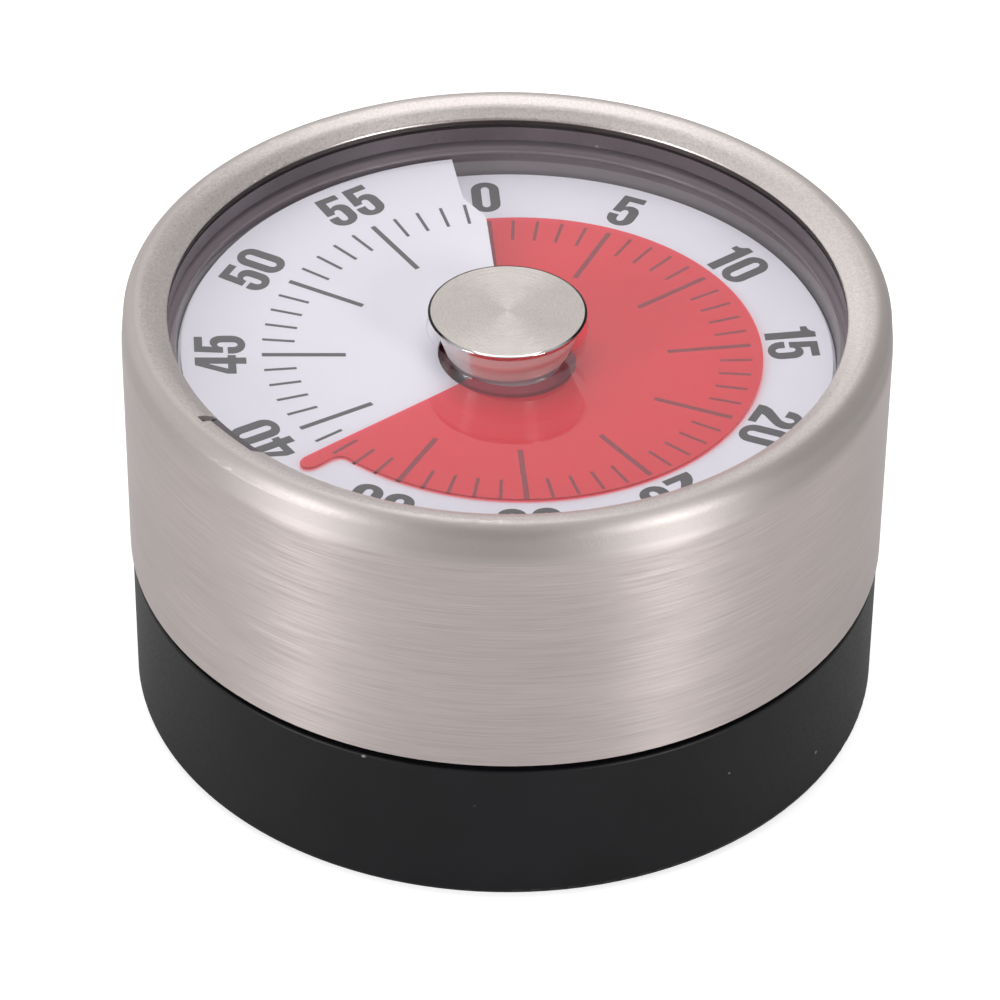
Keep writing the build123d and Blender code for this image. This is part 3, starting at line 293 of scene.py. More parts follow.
class Finish(Nodes):
    """A node material under construction."""

    def __init__(self, name):
        self.material = bpy.data.materials.new(name)
        self.material.use_nodes = True
        super().__init__(self.material.node_tree)
        self.shader = self.tree.nodes["Principled BSDF"]
        self.output = self.tree.nodes["Material Output"]

    def set(self, **inputs):
        """Write or link the main shader's sockets; a colour may be given without its alpha."""
        for key, value in inputs.items():
            if isinstance(value, tuple) and len(value) == 3:
                value = (*value, 1.0)
            self.put(self.shader, key.replace("_", " "), value)

    def show(self, surface):
        """Make a shader the material's surface."""
        self.put(self.output, "Surface", surface)

    def cover(self, share, under, over):
        """Shader with a share of another laid over it."""
        node = self.add("ShaderNodeMixShader")
        for key, value in (("0", share), ("1", under), ("2", over)):
            self.put(node, key, value)
        return node.outputs[0]

    def place(self):
        return self.add("ShaderNodeTexCoord").outputs["Object"]

    def stretched(self, scale):
        """Position in metres, stretched along each axis."""
        mapping = self.add("ShaderNodeMapping", {"vector_type": "POINT"}, Vector=self.place())
        mapping.inputs["Scale"].default_value = scale
        return mapping.outputs[0]

    def polar_place(self):
        """(radius, direction) about the vertical axis, for round brushing."""
        flat = self.add("ShaderNodeVectorMath", {"operation": "MULTIPLY"})
        self.put(flat, "0", self.place())
        self.put(flat, "1", (1.0, 1.0, 0.0))
        size = self.add("ShaderNodeVectorMath", {"operation": "LENGTH"})
        self.put(size, "0", flat.outputs[0])
        unit = self.add("ShaderNodeVectorMath", {"operation": "NORMALIZE"})
        self.put(unit, "0", flat.outputs[0])
        return size.outputs["Value"], unit.outputs[0]

    def by_drop(self, level, drops, low=0.0, high=1.0):
        """Low up to the first drop below a level, high from the second drop up."""
        start, end = level - drops[0], level - drops[1]
        return self.spread(self.axis(self.place(), "Z"), low, high, start, end)

    def noise(self, vector, scale, detail=3.0, roughness=0.55):
        node = self.add(
            "ShaderNodeTexNoise", Vector=vector, Scale=scale, Detail=detail, Roughness=roughness
        )
        return node.outputs["Fac"]

    def blend(self, first, second, share):
        """Two patterns together, with a share of the second."""
        kept = self.math("MULTIPLY", first, 1.0 - share)
        return self.math("ADD", kept, self.math("MULTIPLY", second, share))

    def tint(self, share, first, second):
        """Colour: first where the share is 0, second where it is 1."""
        node = self.add("ShaderNodeMix", {"data_type": "RGBA"})
        self.put(node, "0", share)
        for key, value in (("6", first), ("7", second)):
            self.put(node, key, value if isinstance(value, bpy.types.NodeSocket) else (*value, 1.0))
        return node.outputs[2]

    def mottled(self, pattern, base, low, high):
        """Colour made darker and lighter by a pattern."""
        share = self.spread(pattern, 0.0, 1.0, *PATTERN_RANGE)
        return self.tint(share, shade(base, low), shade(base, high))

    def bump(self, height, strength, distance):
        node = self.add("ShaderNodeBump", Height=height, Strength=strength, Distance=distance)
        return node.outputs[0]

    def brush_round(self, amount):
        """Stretch the gloss across brushing that runs round the vertical axis."""
        round_axis = self.add("ShaderNodeTangent", {"direction_type": "RADIAL", "axis": "Z"})
        self.set(Anisotropic=amount, Anisotropic_Rotation=0.25, Tangent=round_axis.outputs[0])


def shade(base, share):
    """Colour made darker or lighter by a share."""
    return tuple(min(1.0, channel * share) for channel in base)


def top_of(name):
    """Level of a construction node's top."""
    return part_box(name)[1].z


def drum_finish(colours):
    """Steel brushed round the wall, with a shot-satin rim, painted shade on its shoulder and painted
    shade on the lip's inner face for the gap under it.
    """
    f = Finish("drum_steel")
    lines = f.noise(f.stretched((110.0, 110.0, 7000.0)), 1.0, 5.0, 0.65)
    clouds = f.noise(f.stretched((60.0, 60.0, 160.0)), 1.0, 2.0)
    grain = f.noise(f.place(), 3600.0, 3.0, 0.75)
    radius, _ = f.polar_place()
    crest = top_of("steel_shell")
    rim = f.by_drop(crest, RIM_DROPS)
    # Painted shade: the lip's inner face is steel darkened for the shadow in the gap under the lip.
    lip_gap_shade = f.math(
        "MULTIPLY", f.spread(radius, 1.0, 0.0, *LIP_GAP_SHADE_RADII),
        f.by_drop(crest, LIP_GAP_SHADE_DROPS, 1.0, 0.0)
    )
    # Painted shade: the shoulder's colour is darkened to dim the lamps' highlight there, and the
    # shoulder is also made rougher.
    shaded_shoulder = f.math(
        "MULTIPLY", f.by_drop(crest, SHADED_SHOULDER_DROPS), f.spread(radius, 0.0, 1.0, *SHADED_SHOULDER_RADII)
    )
    pattern = f.mix(rim, lines, grain)
    mixed = f.blend(pattern, clouds, 0.2)
    wall = f.mottled(mixed, colours.steel, 0.84, 1.13)
    wall_and_rim = f.tint(rim, wall, f.mottled(mixed, colours.rim, 0.80, 1.20))
    with_lip_shade = f.tint(lip_gap_shade, wall_and_rim, shade(colours.steel, 0.14))
    duller = f.math("ADD", f.math("MULTIPLY", shaded_shoulder, 0.22), f.math("MULTIPLY", lip_gap_shade, 0.3))
    f.set(
        Base_Color=f.tint(shaded_shoulder, with_lip_shade, shade(colours.rim, 0.80)),
        Metallic=1.0,
        Roughness=f.math("ADD", f.spread(mixed, 0.27, 0.40, *PATTERN_RANGE), duller),
        Normal=f.bump(f.math("MULTIPLY", pattern, f.spread(rim, 1.0, 5.0)), 0.35, 0.012 * MM),
    )
    f.brush_round(0.7)
    return f.material


def knob_finish(colours, sizes, level):
    """Knob turned from bar: circular brushing on top, a painted shade line inside its edge on the far
    side, a satin bowl.
    """
    rings_per_metre = 15000.0
    ring_wander = 6.0
    f = Finish("knob_steel")
    radius, direction = f.polar_place()
    outward = f.add("ShaderNodeCombineXYZ")
    f.put(outward, "0", f.math("MULTIPLY", radius, rings_per_metre))
    along = f.add("ShaderNodeVectorMath", {"operation": "SCALE"}, Scale=ring_wander)
    f.put(along, "0", direction)
    turned = f.add("ShaderNodeVectorMath", {"operation": "ADD"})
    f.put(turned, "0", outward.outputs[0])
    f.put(turned, "1", along.outputs[0])
    rings = f.noise(turned.outputs[0], 1.0, 4.0, 0.6)
    mixed = f.blend(rings, f.noise(f.place(), 220.0, 2.0), 0.25)
    upward = f.axis(f.add("ShaderNodeNewGeometry").outputs["True Normal"], "Z")
    top = f.spread(upward, 0.0, 1.0, 0.985, 0.998)
    edge_and_top = f.tint(top, colours.polished, f.mottled(mixed, colours.knob, 0.84, 1.12))
    # Painted shade: a dark line on the edge of the top, full on the far side and fading out towards the
    # near side.
    shade_line_radius = sizes.radius - sizes.edge - sizes.bevel
    shade_line = f.spread(radius, 0.0, 1.0, shade_line_radius - SHADE_LINE_WIDTH, shade_line_radius)
    shade_line = f.math("MULTIPLY", shade_line, f.spread(f.axis(direction, "Y"), 0.0, 1.0, *SHADE_LINE_HEADINGS))
    shade_line = f.math("MULTIPLY", shade_line, f.by_drop(level, SHADE_LINE_DROPS))
    bowl_roughness = f.by_drop(level, POLISHED_EDGE_DROPS, 0.30, 0.05)
    f.set(
        Base_Color=f.tint(shade_line, edge_and_top, shade(colours.well, 0.2)),
        Metallic=f.by_drop(level, BARE_METAL_DROPS, 0.35, 1.0),
        Roughness=f.mix(top, bowl_roughness, f.spread(mixed, 0.22, 0.31, *PATTERN_RANGE)),
        Normal=f.bump(f.math("MULTIPLY", rings, top), 0.3, 0.01 * MM),
    )
    f.brush_round(0.75)
    return f.material


def polished_finish(name, base, roughness):
    """Polished metal with the faint cloudiness of handling."""
    f = Finish(name)
    clouds = f.noise(f.place(), 450.0, 4.0, 0.6)
    f.set(
        Base_Color=f.tint(clouds, shade(base, 0.95), shade(base, 1.05)),
        Metallic=1.0,
        Roughness=f.spread(clouds, roughness * 0.7, roughness * 1.5, *PATTERN_RANGE),
        Normal=f.bump(clouds, 0.04, 0.02 * MM),
    )
    return f.material


def moulded_finish(name, base, roughness, shine=0.5, grain=2600.0, strength=0.25):
    """Moulded plastic with a fine spark-eroded grain and a few dust specks."""
    f = Finish(name)
    fine = f.noise(f.place(), grain, 3.0, 0.6)
    broad = f.noise(f.place(), 90.0, 2.0)
    dust = f.noise(f.place(), 620.0, 1.0, 0.4)
    specks = f.spread(dust, 0.0, 1.0, 0.795, 0.83)
    f.set(
        Base_Color=f.tint(specks, f.mottled(broad, base, 0.85, 1.2), DUST),
        Specular_IOR_Level=shine,
        Roughness=f.spread(fine, roughness * 0.9, roughness * 1.12, *PATTERN_RANGE),
        Normal=f.bump(fine, strength, 0.02 * MM),
    )
    return f.material


def well_finish(colours):
    """Wall round the dial, with painted light on the seat under the lens's edge, where the ring above
    shades it.
    """
    f = Finish("well_plastic")
    fine = f.noise(f.place(), 2200.0, 3.0, 0.6)
    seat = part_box("lens")[0].z
    radius, _ = f.polar_place()
    # Painted light: the seat under the lens's edge is made paler where the ring above shades it, more so
    # towards its outer radius.
    painted_seat_light = f.math("MULTIPLY", f.by_drop(seat, PAINTED_SEAT_LIGHT_DROPS), f.spread(radius, 0.1, 1.0, *PAINTED_SEAT_LIGHT_RADII))
    f.set(
        Base_Color=f.tint(painted_seat_light, colours.well, shade(colours.well, 2.5)),
        Roughness=f.spread(fine, 0.27, 0.34, *PATTERN_RANGE),
        Normal=f.bump(fine, 0.08, 0.02 * MM),
    )
    return f.material


def dial_finish(colours):
    """Smooth white sheet with a hardly visible mottle."""
    f = Finish("dial_sheet")
    mottle = f.noise(f.place(), 140.0, 3.0)
    fine = f.noise(f.place(), 1800.0, 2.0)
    f.set(
        Base_Color=f.mottled(mottle, colours.dial, 0.985, 1.01),
        Roughness=f.spread(fine, 0.40, 0.50, *PATTERN_RANGE),
        Normal=f.bump(fine, 0.05, 0.01 * MM),
    )
    return f.material


def ink_finish(colours):
    """Screen-printed ink, a little uneven."""
    f = Finish("dial_ink")
    blotch = f.noise(f.place(), 2500.0, 3.0)
    f.set(
        Base_Color=f.tint(blotch, shade(colours.ink, 0.85), shade(colours.ink, 1.2)),
        Roughness=f.spread(blotch, 0.42, 0.58),
    )
    return f.material


def seen_directly(f):
    """1 for what the eye or a mirror sees, 0 for the light on its way to the dial."""
    path = f.add("ShaderNodeLightPath")
    lighting = f.math("MAXIMUM", path.outputs["Is Shadow Ray"], path.outputs["Is Diffuse Ray"])
    return f.math("SUBTRACT", 1.0, lighting)


def glaze(f, inside, entering, ior, roughness, normal):
    """Cover what a sheet lets through with the gloss of both its faces."""
    one_face = f.add("ShaderNodeFresnel", IOR=ior).outputs[0]
    both_faces = f.math("DIVIDE", f.math("MULTIPLY", one_face, 2.0), f.math("ADD", one_face, 1.0))
    mirror = f.add("ShaderNodeBsdfGlossy", Roughness=roughness, Normal=normal)
    share = f.math("MULTIPLY", f.math("MULTIPLY", entering, both_faces), seen_directly(f))
    return f.cover(share, inside, mirror.outputs[0])


def sheet_sides(f):
    """(1 where light enters a sheet, 1 on the sheet's cut edge)."""
    geometry = f.add("ShaderNodeNewGeometry")
    entering = f.math("SUBTRACT", 1.0, geometry.outputs["Backfacing"])
    lying = f.axis(geometry.outputs["True Normal"], "Z")
    return entering, f.spread(f.math("ABSOLUTE", lying), 1.0, 0.0, 0.5, 0.9)


def lens_finish():
    """Clear acrylic with the finest wipe marks and a frosted cut edge."""
    f = Finish("lens_acrylic")
    wipe = f.noise(f.stretched((300.0, 900.0, 300.0)), 1.0, 5.0, 0.7)
    entering, cut_edge = sheet_sides(f)
    clear = f.add("ShaderNodeBsdfTransparent", Color=(*WHITE, 1.0))
    f.set(Base_Color=(0.80, 0.80, 0.82), Roughness=0.25, Specular_IOR_Level=0.8)
    frost = f.math("MULTIPLY", f.math("MULTIPLY", entering, cut_edge), 0.45)
    frosted = f.cover(frost, clear.outputs[0], f.shader.outputs[0])
    f.show(glaze(f, frosted, entering, LENS_IOR, 0.01, f.bump(wipe, 0.006, 0.01 * MM)))
    return f.material


def film_finish(colours):
    """Translucent red film: a colour filter, a little hazy, with a glossy face and a darker cut edge."""
    f = Finish("film_sheet")
    ripple = f.noise(f.place(), 160.0, 2.0)
    entering, cut_edge = sheet_sides(f)
    filtered = f.tint(entering, WHITE, f.tint(cut_edge, colours.film, colours.film_edge))
    clear = f.add("ShaderNodeBsdfTransparent", Color=filtered)
    f.set(Base_Color=tuple(colours.haze), Roughness=0.6, Specular_IOR_Level=0.0)
    radius, _ = f.polar_place()
    haze = f.spread(radius, BARE_FILM_HAZE, FILM_HAZE, *BARE_FILM_RADII)
    haze = f.math("MULTIPLY", haze, seen_directly(f))
    flat = f.math("MULTIPLY", entering, f.spread(cut_edge, 1.0, 0.25))
    hazy = f.cover(f.math("MULTIPLY", flat, haze), clear.outputs[0], f.shader.outputs[0])
    f.show(glaze(f, hazy, entering, FILM_IOR, 0.02, f.bump(ripple, 0.02, 0.05 * MM)))
    return f.material


def cut_wheel_finish(name, base):
    """Stamped brass or steel of the movement, lightly scratched."""
    f = Finish(name)
    scratches = f.noise(f.stretched((2500.0, 250.0, 400.0)), 1.0, 4.0)
    stain = f.noise(f.place(), 150.0, 3.0)
    f.set(
        Base_Color=f.mottled(stain, base, 0.8, 1.1),
        Metallic=1.0,
        Roughness=f.spread(scratches, 0.22, 0.42, *PATTERN_RANGE),
        Normal=f.bump(scratches, 0.15, 0.01 * MM),
    )
    return f.material


# ---------------------------------------------------------------- mesh helpers
def mesh_object(name, points, faces, material, body, smooth_angle=35.0):
    """Object from points and faces, riding on a body; sharp where faces meet past the angle."""
    mesh = bpy.data.meshes.new(name)
    mesh.from_pydata(points, [], faces)
    mesh.materials.append(material)
    mesh.polygons.foreach_set("use_smooth", [True] * len(mesh.polygons))
    mesh.set_sharp_from_angle(angle=radians(smooth_angle))
    mesh.update()
    tidy = bmesh.new()
    tidy.from_mesh(mesh)
    bmesh.ops.remove_doubles(tidy, verts=tidy.verts, dist=1e-8)
    bmesh.ops.recalc_face_normals(tidy, faces=tidy.faces)
    tidy.to_mesh(mesh)
    tidy.free()
    piece = bpy.data.objects.new(name, mesh)
    bpy.context.scene.collection.objects.link(piece)
    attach(piece, body)
    return piece


def arc(centre_x, centre_y, radius_x, radius_y, start, end, steps=10):
    """Points along an ellipse's arc, angles in degrees."""
    points = []
    for index in range(steps + 1):
        turn = radians(start + (end - start) * index / steps)
        points.append((centre_x + radius_x * cos(turn), centre_y + radius_y * sin(turn)))
    return points


def lathed(name, profile, material, body, smooth_angle=35.0):
    """Ring turned from a closed profile of (radius, level)."""
    count = len(profile)
    points = []
    faces = []
    for index in range(ROUND_SEGMENTS):
        turn = 2.0 * pi * index / ROUND_SEGMENTS
        points += [(radius * cos(turn), radius * sin(turn), level) for radius, level in profile]
        here = index * count
        there = (index + 1) % ROUND_SEGMENTS * count
        for corner in range(count):
            after = (corner + 1) % count
            faces.append((here + corner, there + corner, there + after, here + after))
    return mesh_object(name, points, faces, material, body, smooth_angle)


def bend(corners, steps):
    """Points along the smooth curve that three corners steer."""
    points = []
    for index in range(steps + 1):
        t = index / steps
        weights = ((1.0 - t) ** 2, 2.0 * t * (1.0 - t), t ** 2)
        points.append(tuple(sum(w * c[k] for w, c in zip(weights, corners)) for k in (0, 1)))
    return points


def paint(name, material):
    """Give a construction node its finish."""
    mesh = nodes[name].data
    mesh.materials.clear()
    mesh.materials.append(material)


# ---------------------------------------------------------------- dial
def dial_point(dial, radius, minute_radians, lift):
    """Point on the ramp: a radius, a clockwise angle from the 0 mark, and a lift off the sheet."""
    direction = pi / 2.0 + dial.zero_tilt - minute_radians
    dish = dial.dish * (radius - dial.level_radius)
    level = dial.level + dish + dial.pitch * minute_radians / (2.0 * pi)
    return Vector((radius * cos(direction), radius * sin(direction), level + lift))


def on_dial(dial, minute, across, outward, lift):
    """Point across and outward from a minute's radius, laid on the ramp."""
    radius = hypot(outward, across)
    turn = radians(minute * DEGREES_PER_MINUTE) + atan2(across, outward)
    return dial_point(dial, radius, turn, lift)


def printed(dial, loops, minute, points, faces):
    """Add one closed figure, given as loops of (across, outward), as a thin layer of ink."""
    flat = [Vector((x, y, 0.0)) for loop in loops for x, y in loop]
    triangles = tessellate_polygon([[Vector((x, y, 0.0)) for x, y in loop] for loop in loops])
    base = len(points)
    count = len(flat)
    for lift in (dial.ink, dial.ink * 0.1):
        for point in flat:
            points.append(on_dial(dial, minute, point.x, point.y, lift))
    for triangle in triangles:
        faces.append([base + index for index in triangle])
        faces.append([base + count + index for index in reversed(triangle)])
    start = base
    for loop in loops:
        size = len(loop)
        for index in range(size):
            following = (index + 1) % size
            here, there = start + index, start + following
            faces.append([here, there, there + count, here + count])
        start += size


def figure_zero():
    """The figure 0: two ovals."""
    outer = arc(0.5, 0.74, 0.5, 0.26, 0, 180) + arc(0.5, 0.26, 0.5, 0.26, 180, 360)
    inner = arc(0.5, 0.745, 0.145, 0.10, 0, 180) + arc(0.5, 0.255, 0.145, 0.10, 180, 360)
    return [outer, inner]


def figure_one():
    """The figure 1: a stem with a flag."""
    flag = [
        (0.36, 0.0), (0.74, 0.0), (0.74, 1.0), (0.45, 1.0), (0.38, 0.92), (0.26, 0.865), (0.10, 0.85),
    ]
    return [flag + [(0.10, 0.72), (0.36, 0.72)]]


def figure_two():
    """The figure 2: a foot, a sloping stroke and a bowl."""
    outer = [
        (0.0, 0.0), (1.0, 0.0), (1.0, 0.165), (0.47, 0.165), (0.52, 0.24), (0.80, 0.45), (0.93, 0.56),
    ]
    bowl = arc(0.5, 0.715, 0.5, 0.285, -20, 180)
    mouth = [(0.0, 0.62), (0.36, 0.62)]
    counter = arc(0.5, 0.735, 0.14, 0.115, 180, -15)
    return [outer + bowl + mouth + counter + [(0.58, 0.60), (0.10, 0.29), (0.0, 0.15)]]


def figure_three():
    """The figure 3: two bowls open to the left."""
    top = [(0.0, 0.66)] + arc(0.5, 0.74, 0.5, 0.26, 180, 0)
    top += [(1.0, 0.66), (0.95, 0.57), (0.80, 0.515)]
    bottom = [(0.95, 0.46), (1.0, 0.37)] + arc(0.5, 0.26, 0.5, 0.26, 0, -180)
    bottom += [(0.0, 0.35), (0.36, 0.35)]
    inner = arc(0.5, 0.26, 0.14, 0.10, 180, 360)
    inner += [(0.64, 0.38), (0.56, 0.44), (0.40, 0.45), (0.40, 0.58), (0.56, 0.59), (0.64, 0.65)]
    inner += arc(0.5, 0.745, 0.14, 0.10, 0, 180) + [(0.36, 0.66)]
    return [top + bottom + inner]


def figure_four():
    """The figure 4: a crossed stem with a three-sided opening."""
    outer = [(0.56, 0.0), (0.90, 0.0), (0.90, 0.20), (1.04, 0.20), (1.04, 0.36), (0.90, 0.36)]
    outer += [(0.90, 1.0), (0.48, 1.0), (0.0, 0.38), (0.0, 0.20), (0.56, 0.20)]
    return [outer, [(0.27, 0.36), (0.56, 0.36), (0.56, 0.76)]]


def figure_five():
    """The figure 5: a bar and a stem over a bowl."""
    top = [(0.10, 1.0), (0.94, 1.0), (0.94, 0.84), (0.40, 0.84), (0.38, 0.64)]
    bowl = [(0.48, 0.68), (0.62, 0.695)] + arc(0.66, 0.47, 0.34, 0.22, 80, 0, 6)
    foot = arc(0.5, 0.26, 0.5, 0.26, 0, -180) + [(0.0, 0.35), (0.36, 0.35)]
    counter = arc(0.5, 0.25, 0.14, 0.10, 180, 360) + arc(0.5, 0.45, 0.14, 0.10, 0, 180, 6)
    return [top + bowl + foot + counter + [(0.36, 0.44), (0.04, 0.44)]]


FIGURES = {
    "0": figure_zero,
    "1": figure_one,
    "2": figure_two,
    "3": figure_three,
    "4": figure_four,
    "5": figure_five,
}
NARROW_FIGURE = 0.78             # the figure 1 is this share of the others' width


def numeral_loops(dial, text):
    """Loops of each figure of one number, centred across, its feet at the numeral radius."""
    widths = [dial.numeral_width * (NARROW_FIGURE if figure == "1" else 1.0) for figure in text]
    total = sum(widths) + dial.numeral_gap * (len(text) - 1)
    start = -total / 2.0
    groups = []
    for figure, width in zip(text, widths):
        loops = []
        for loop in FIGURES[figure]():
            loops.append([
                (start + x * dial.numeral_width, dial.numeral_radius + y * dial.numeral_height)
                for x, y in loop
            ])
        groups.append(loops)
        start += width + dial.numeral_gap
    return groups


class TIMER_OT_dial(bpy.types.Operator):
    """Finish the dial and print its ticks and numerals"""

    bl_idname = "timer.dial"
    bl_label = "Dial"

    def execute(self, context):
        dial = context.scene.timer_dial
        colours = context.scene.timer_colours
        sheet = dial_finish(colours)
        ink = ink_finish(colours)
        paint("dial_plate", sheet)
        paint("ramp_ring", sheet)
        points = []
        faces = []
        for minute in range(MINUTES):
            is_long = minute % MINUTES_PER_NUMERAL == 0
            half = (dial.long_tick_width if is_long else dial.tick_width) / 2.0
            inner = dial.long_tick_inner if is_long else dial.tick_inner
            outer = dial.tick_outer
            outline = [(-half, inner), (half, inner), (half, outer), (-half, outer)]
            printed(dial, [outline], minute, points, faces)
        mesh_object("dial_ticks", points, faces, ink, "case")
        points = []
        faces = []
        for minute in range(0, MINUTES, MINUTES_PER_NUMERAL):
            for loops in numeral_loops(dial, str(minute)):
                printed(dial, loops, minute, points, faces)
        mesh_object("dial_numerals", points, faces, ink, "case")
        return {"FINISHED"}


class TIMER_OT_case(bpy.types.Operator):
    """Finish the drum, base, foot ring and the wall round the dial"""

    bl_idname = "timer.case"
    bl_label = "Case"

    def execute(self, context):
        colours = context.scene.timer_colours
        paint("steel_shell", drum_finish(colours))
        paint("base_housing", moulded_finish("base_plastic", colours.base, 0.42, 0.22))
        rubber = moulded_finish("foot_rubber_skin", colours.rubber, 0.75, 0.3, 1500.0, 0.4)
        paint("foot_ring", rubber)
        paint("dial_well", well_finish(colours))
        ring_black = shade(colours.well, 0.72)
        ring = moulded_finish("lens_ring_plastic", ring_black, 0.30, 0.5, 2200.0, 0.08)
        paint("lens_ring", ring)
        paint("base_magnet", polished_finish("magnet_plating", colours.magnet, 0.18))
        return {"FINISHED"}


class TIMER_OT_glazing(bpy.types.Operator):
    """Finish the lens and the red film"""

    bl_idname = "timer.glazing"
    bl_label = "Lens and film"

    def execute(self, context):
        glazing = context.scene.timer_glazing
        self.film(glazing, film_finish(context.scene.timer_colours))
        low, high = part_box("lens")
        inner = glazing.hole_radius
        outer = high.x
        bevel = glazing.bevel
        bottom = low.z + glazing.seat_gap
        top = high.z - glazing.seat_gap
        inner_bottom = bottom + glazing.dome
        inner_top = top + glazing.dome
        profile = [
            (inner + bevel, inner_bottom), (outer - bevel, bottom), (outer, bottom + bevel),
            (outer, top - bevel), (outer - bevel, top), (inner + bevel, inner_top),
            (inner, inner_top - bevel), (inner, inner_bottom + bevel),
        ]
        pane = lathed("lens_pane", profile, lens_finish(), "case")
        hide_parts("lens")
        return {"FINISHED"}

    def film(self, glazing, finish):
        """The film as cut: its edge a little off the axis, its bore close round the sleeve."""
        dish = bpy.context.scene.timer_dial.dish
        tilt = bpy.context.scene.timer_dial.zero_tilt
        mesh = nodes["film_disc"].data.copy()
        mesh.name = "red_film"
        radii = [hypot(vertex.co.x, vertex.co.y) for vertex in mesh.vertices]
        bore = min(radii)
        reach = max(radii)
        for vertex, radius in zip(mesh.vertices, radii):
            direction = atan2(vertex.co.y, vertex.co.x)
            heading = radians(glazing.film_offset_minute * DEGREES_PER_MINUTE)
            turn = pi / 2.0 + tilt - direction - heading
            aside = glazing.film_offset * sin(turn)
            edge = glazing.film_offset * cos(turn) + sqrt(glazing.film_radius ** 2 - aside ** 2)
            trimmed = glazing.film_full_radius - edge
            if radius <= glazing.film_full_radius:
                share = ((radius - bore) / (glazing.film_full_radius - bore)) ** 2
            else:
                share = (reach - radius) / (reach - glazing.film_full_radius)
            inward = trimmed * share
            near_bore = max(0.0, 1.0 - (radius - bore) / glazing.film_bore)
            inward += (bore - glazing.film_bore) * near_bore
            vertex.co.x = (radius - inward) * cos(direction)
            vertex.co.y = (radius - inward) * sin(direction)
            vertex.co.z -= dish * inward
        mesh.materials.clear()
        mesh.materials.append(finish)
        piece = bpy.data.objects.new("red_film", mesh)
        bpy.context.scene.collection.objects.link(piece)
        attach(piece, "film")
        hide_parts("film_disc")


class TIMER_OT_knob(bpy.types.Operator):
    """Finish the knob and its hub"""

    bl_idname = "timer.knob"
    bl_label = "Knob"

    def execute(self, context):
        sizes = context.scene.timer_knob
        colours = context.scene.timer_colours
        arbor_clearance = 0.05 * MM
        top = top_of("setting_knob")
        bore_top = top_of("main_arbor") + arbor_clearance
        rim_bottom = top - sizes.edge - sizes.rim
        foot = top - sizes.foot_drop
        stem_end = top - sizes.stem_drop
        recess = top - sizes.recess_drop
        edge_radius = sizes.radius - sizes.edge
        edge_level = top - sizes.bevel * tan(sizes.bevel_angle) - sizes.edge
        bevel_end = 90.0 - degrees(sizes.bevel_angle)
        profile = [(0.0, top), (edge_radius - sizes.bevel, top)]
        profile += arc(edge_radius, edge_level, sizes.edge, sizes.edge, bevel_end, -20.0, 8)
        belly = (sizes.belly_radius, top - sizes.belly_drop)
        profile += bend(((edge_radius, rim_bottom), belly, (sizes.foot_radius, foot)), 16)
        profile += [
            (sizes.recess_radius, foot), (sizes.recess_radius, recess), (sizes.stem_radius, recess),
            (sizes.stem_radius, stem_end), (sizes.bore_radius, stem_end),
            (sizes.bore_radius, bore_top), (0.0, bore_top),
        ]
        finish = knob_finish(colours, sizes, top)
        # The small angle keeps the light on the flat top apart from the light on its bevel.
        knob = lathed("knob_bowl", profile, finish, "knob", smooth_angle=14.0)
        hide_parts("setting_knob")

        low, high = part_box("film_hub")
        web_top = low.z + sizes.web
        profile = [
            (sizes.bore_radius, low.z), (sizes.sleeve_radius, low.z), (sizes.sleeve_radius, high.z),
            (sizes.sleeve_bore, high.z), (sizes.sleeve_bore, web_top), (sizes.bore_radius, web_top),
        ]
        sleeve_grey = shade(colours.well, 2.6)
        sleeve_skin = moulded_finish("sleeve_plastic", sleeve_grey, 0.35, 0.4, 2200.0, 0.08)
        sleeve = lathed("film_sleeve", profile, sleeve_skin, "film")
        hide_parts("film_hub")
        return {"FINISHED"}


MOVEMENT_BRASS = (
    "upper_plate", "lower_plate", "frame_pillars", "main_wheel", "second_wheel", "third_wheel",
    "escape_wheel", "pallet_lever", "pallet_bob", "strike_cam", "hammer_head",
)
MOVEMENT_STEEL = (
    "case_screws", "pillar_nuts", "frame_screws", "main_arbor", "ratchet_wheel", "click",
    "click_spring", "mainspring", "spring_post", "second_pinion", "third_pinion", "escape_pinion",
    "pallet_pins", "pallet_arbor", "bell_screw", "hammer_arm", "hammer_post",
)


class TIMER_OT_movement(bpy.types.Operator):
    """Finish the movement, the bell and the screws"""

    bl_idname = "timer.movement"
    bl_label = "Movement"

    def execute(self, context):
        colours = context.scene.timer_colours
        brass = cut_wheel_finish("movement_brass_skin", colours.brass)
        steel = cut_wheel_finish("movement_steel_skin", colours.bright_steel)
        for name in MOVEMENT_BRASS:
            paint(name, brass)
        for name in MOVEMENT_STEEL:
            paint(name, steel)
        paint("bell", polished_finish("bell_plating", colours.bell, 0.12))
        return {"FINISHED"}


# ---------------------------------------------------------------- stage
def lay_floor(scene, stage, colours):
    """Pale paper that keeps the timer's shadow and looks white to the camera."""
    half = stage.floor_size / 2.0
    mesh = bpy.data.meshes.new("studio_floor")
    corners = [(-half, -half, 0.0), (half, -half, 0.0), (half, half, 0.0), (-half, half, 0.0)]
    mesh.from_pydata(corners, [], [(0, 1, 2, 3)])
    floor = bpy.data.objects.new("studio_floor", mesh)
    scene.collection.objects.link(floor)
    f = Finish("floor_paper")
    paper = f.tint(f.noise(f.place(), 40.0, 2.0), shade(colours.floor, 0.99), colours.floor)
    diffuse = f.add("ShaderNodeBsdfDiffuse", Color=paper)
    seen = f.add("ShaderNodeLightPath").outputs["Is Camera Ray"]
    strength = f.math("MULTIPLY", seen, stage.floor_glow)
    glow = f.add("ShaderNodeEmission", Color=(*WHITE, 1.0), Strength=strength)
    both = f.add("ShaderNodeAddShader")
    f.put(both, "0", diffuse.outputs[0])
    f.put(both, "1", glow.outputs[0])
    f.show(both.outputs[0])
    mesh.materials.append(f.material)


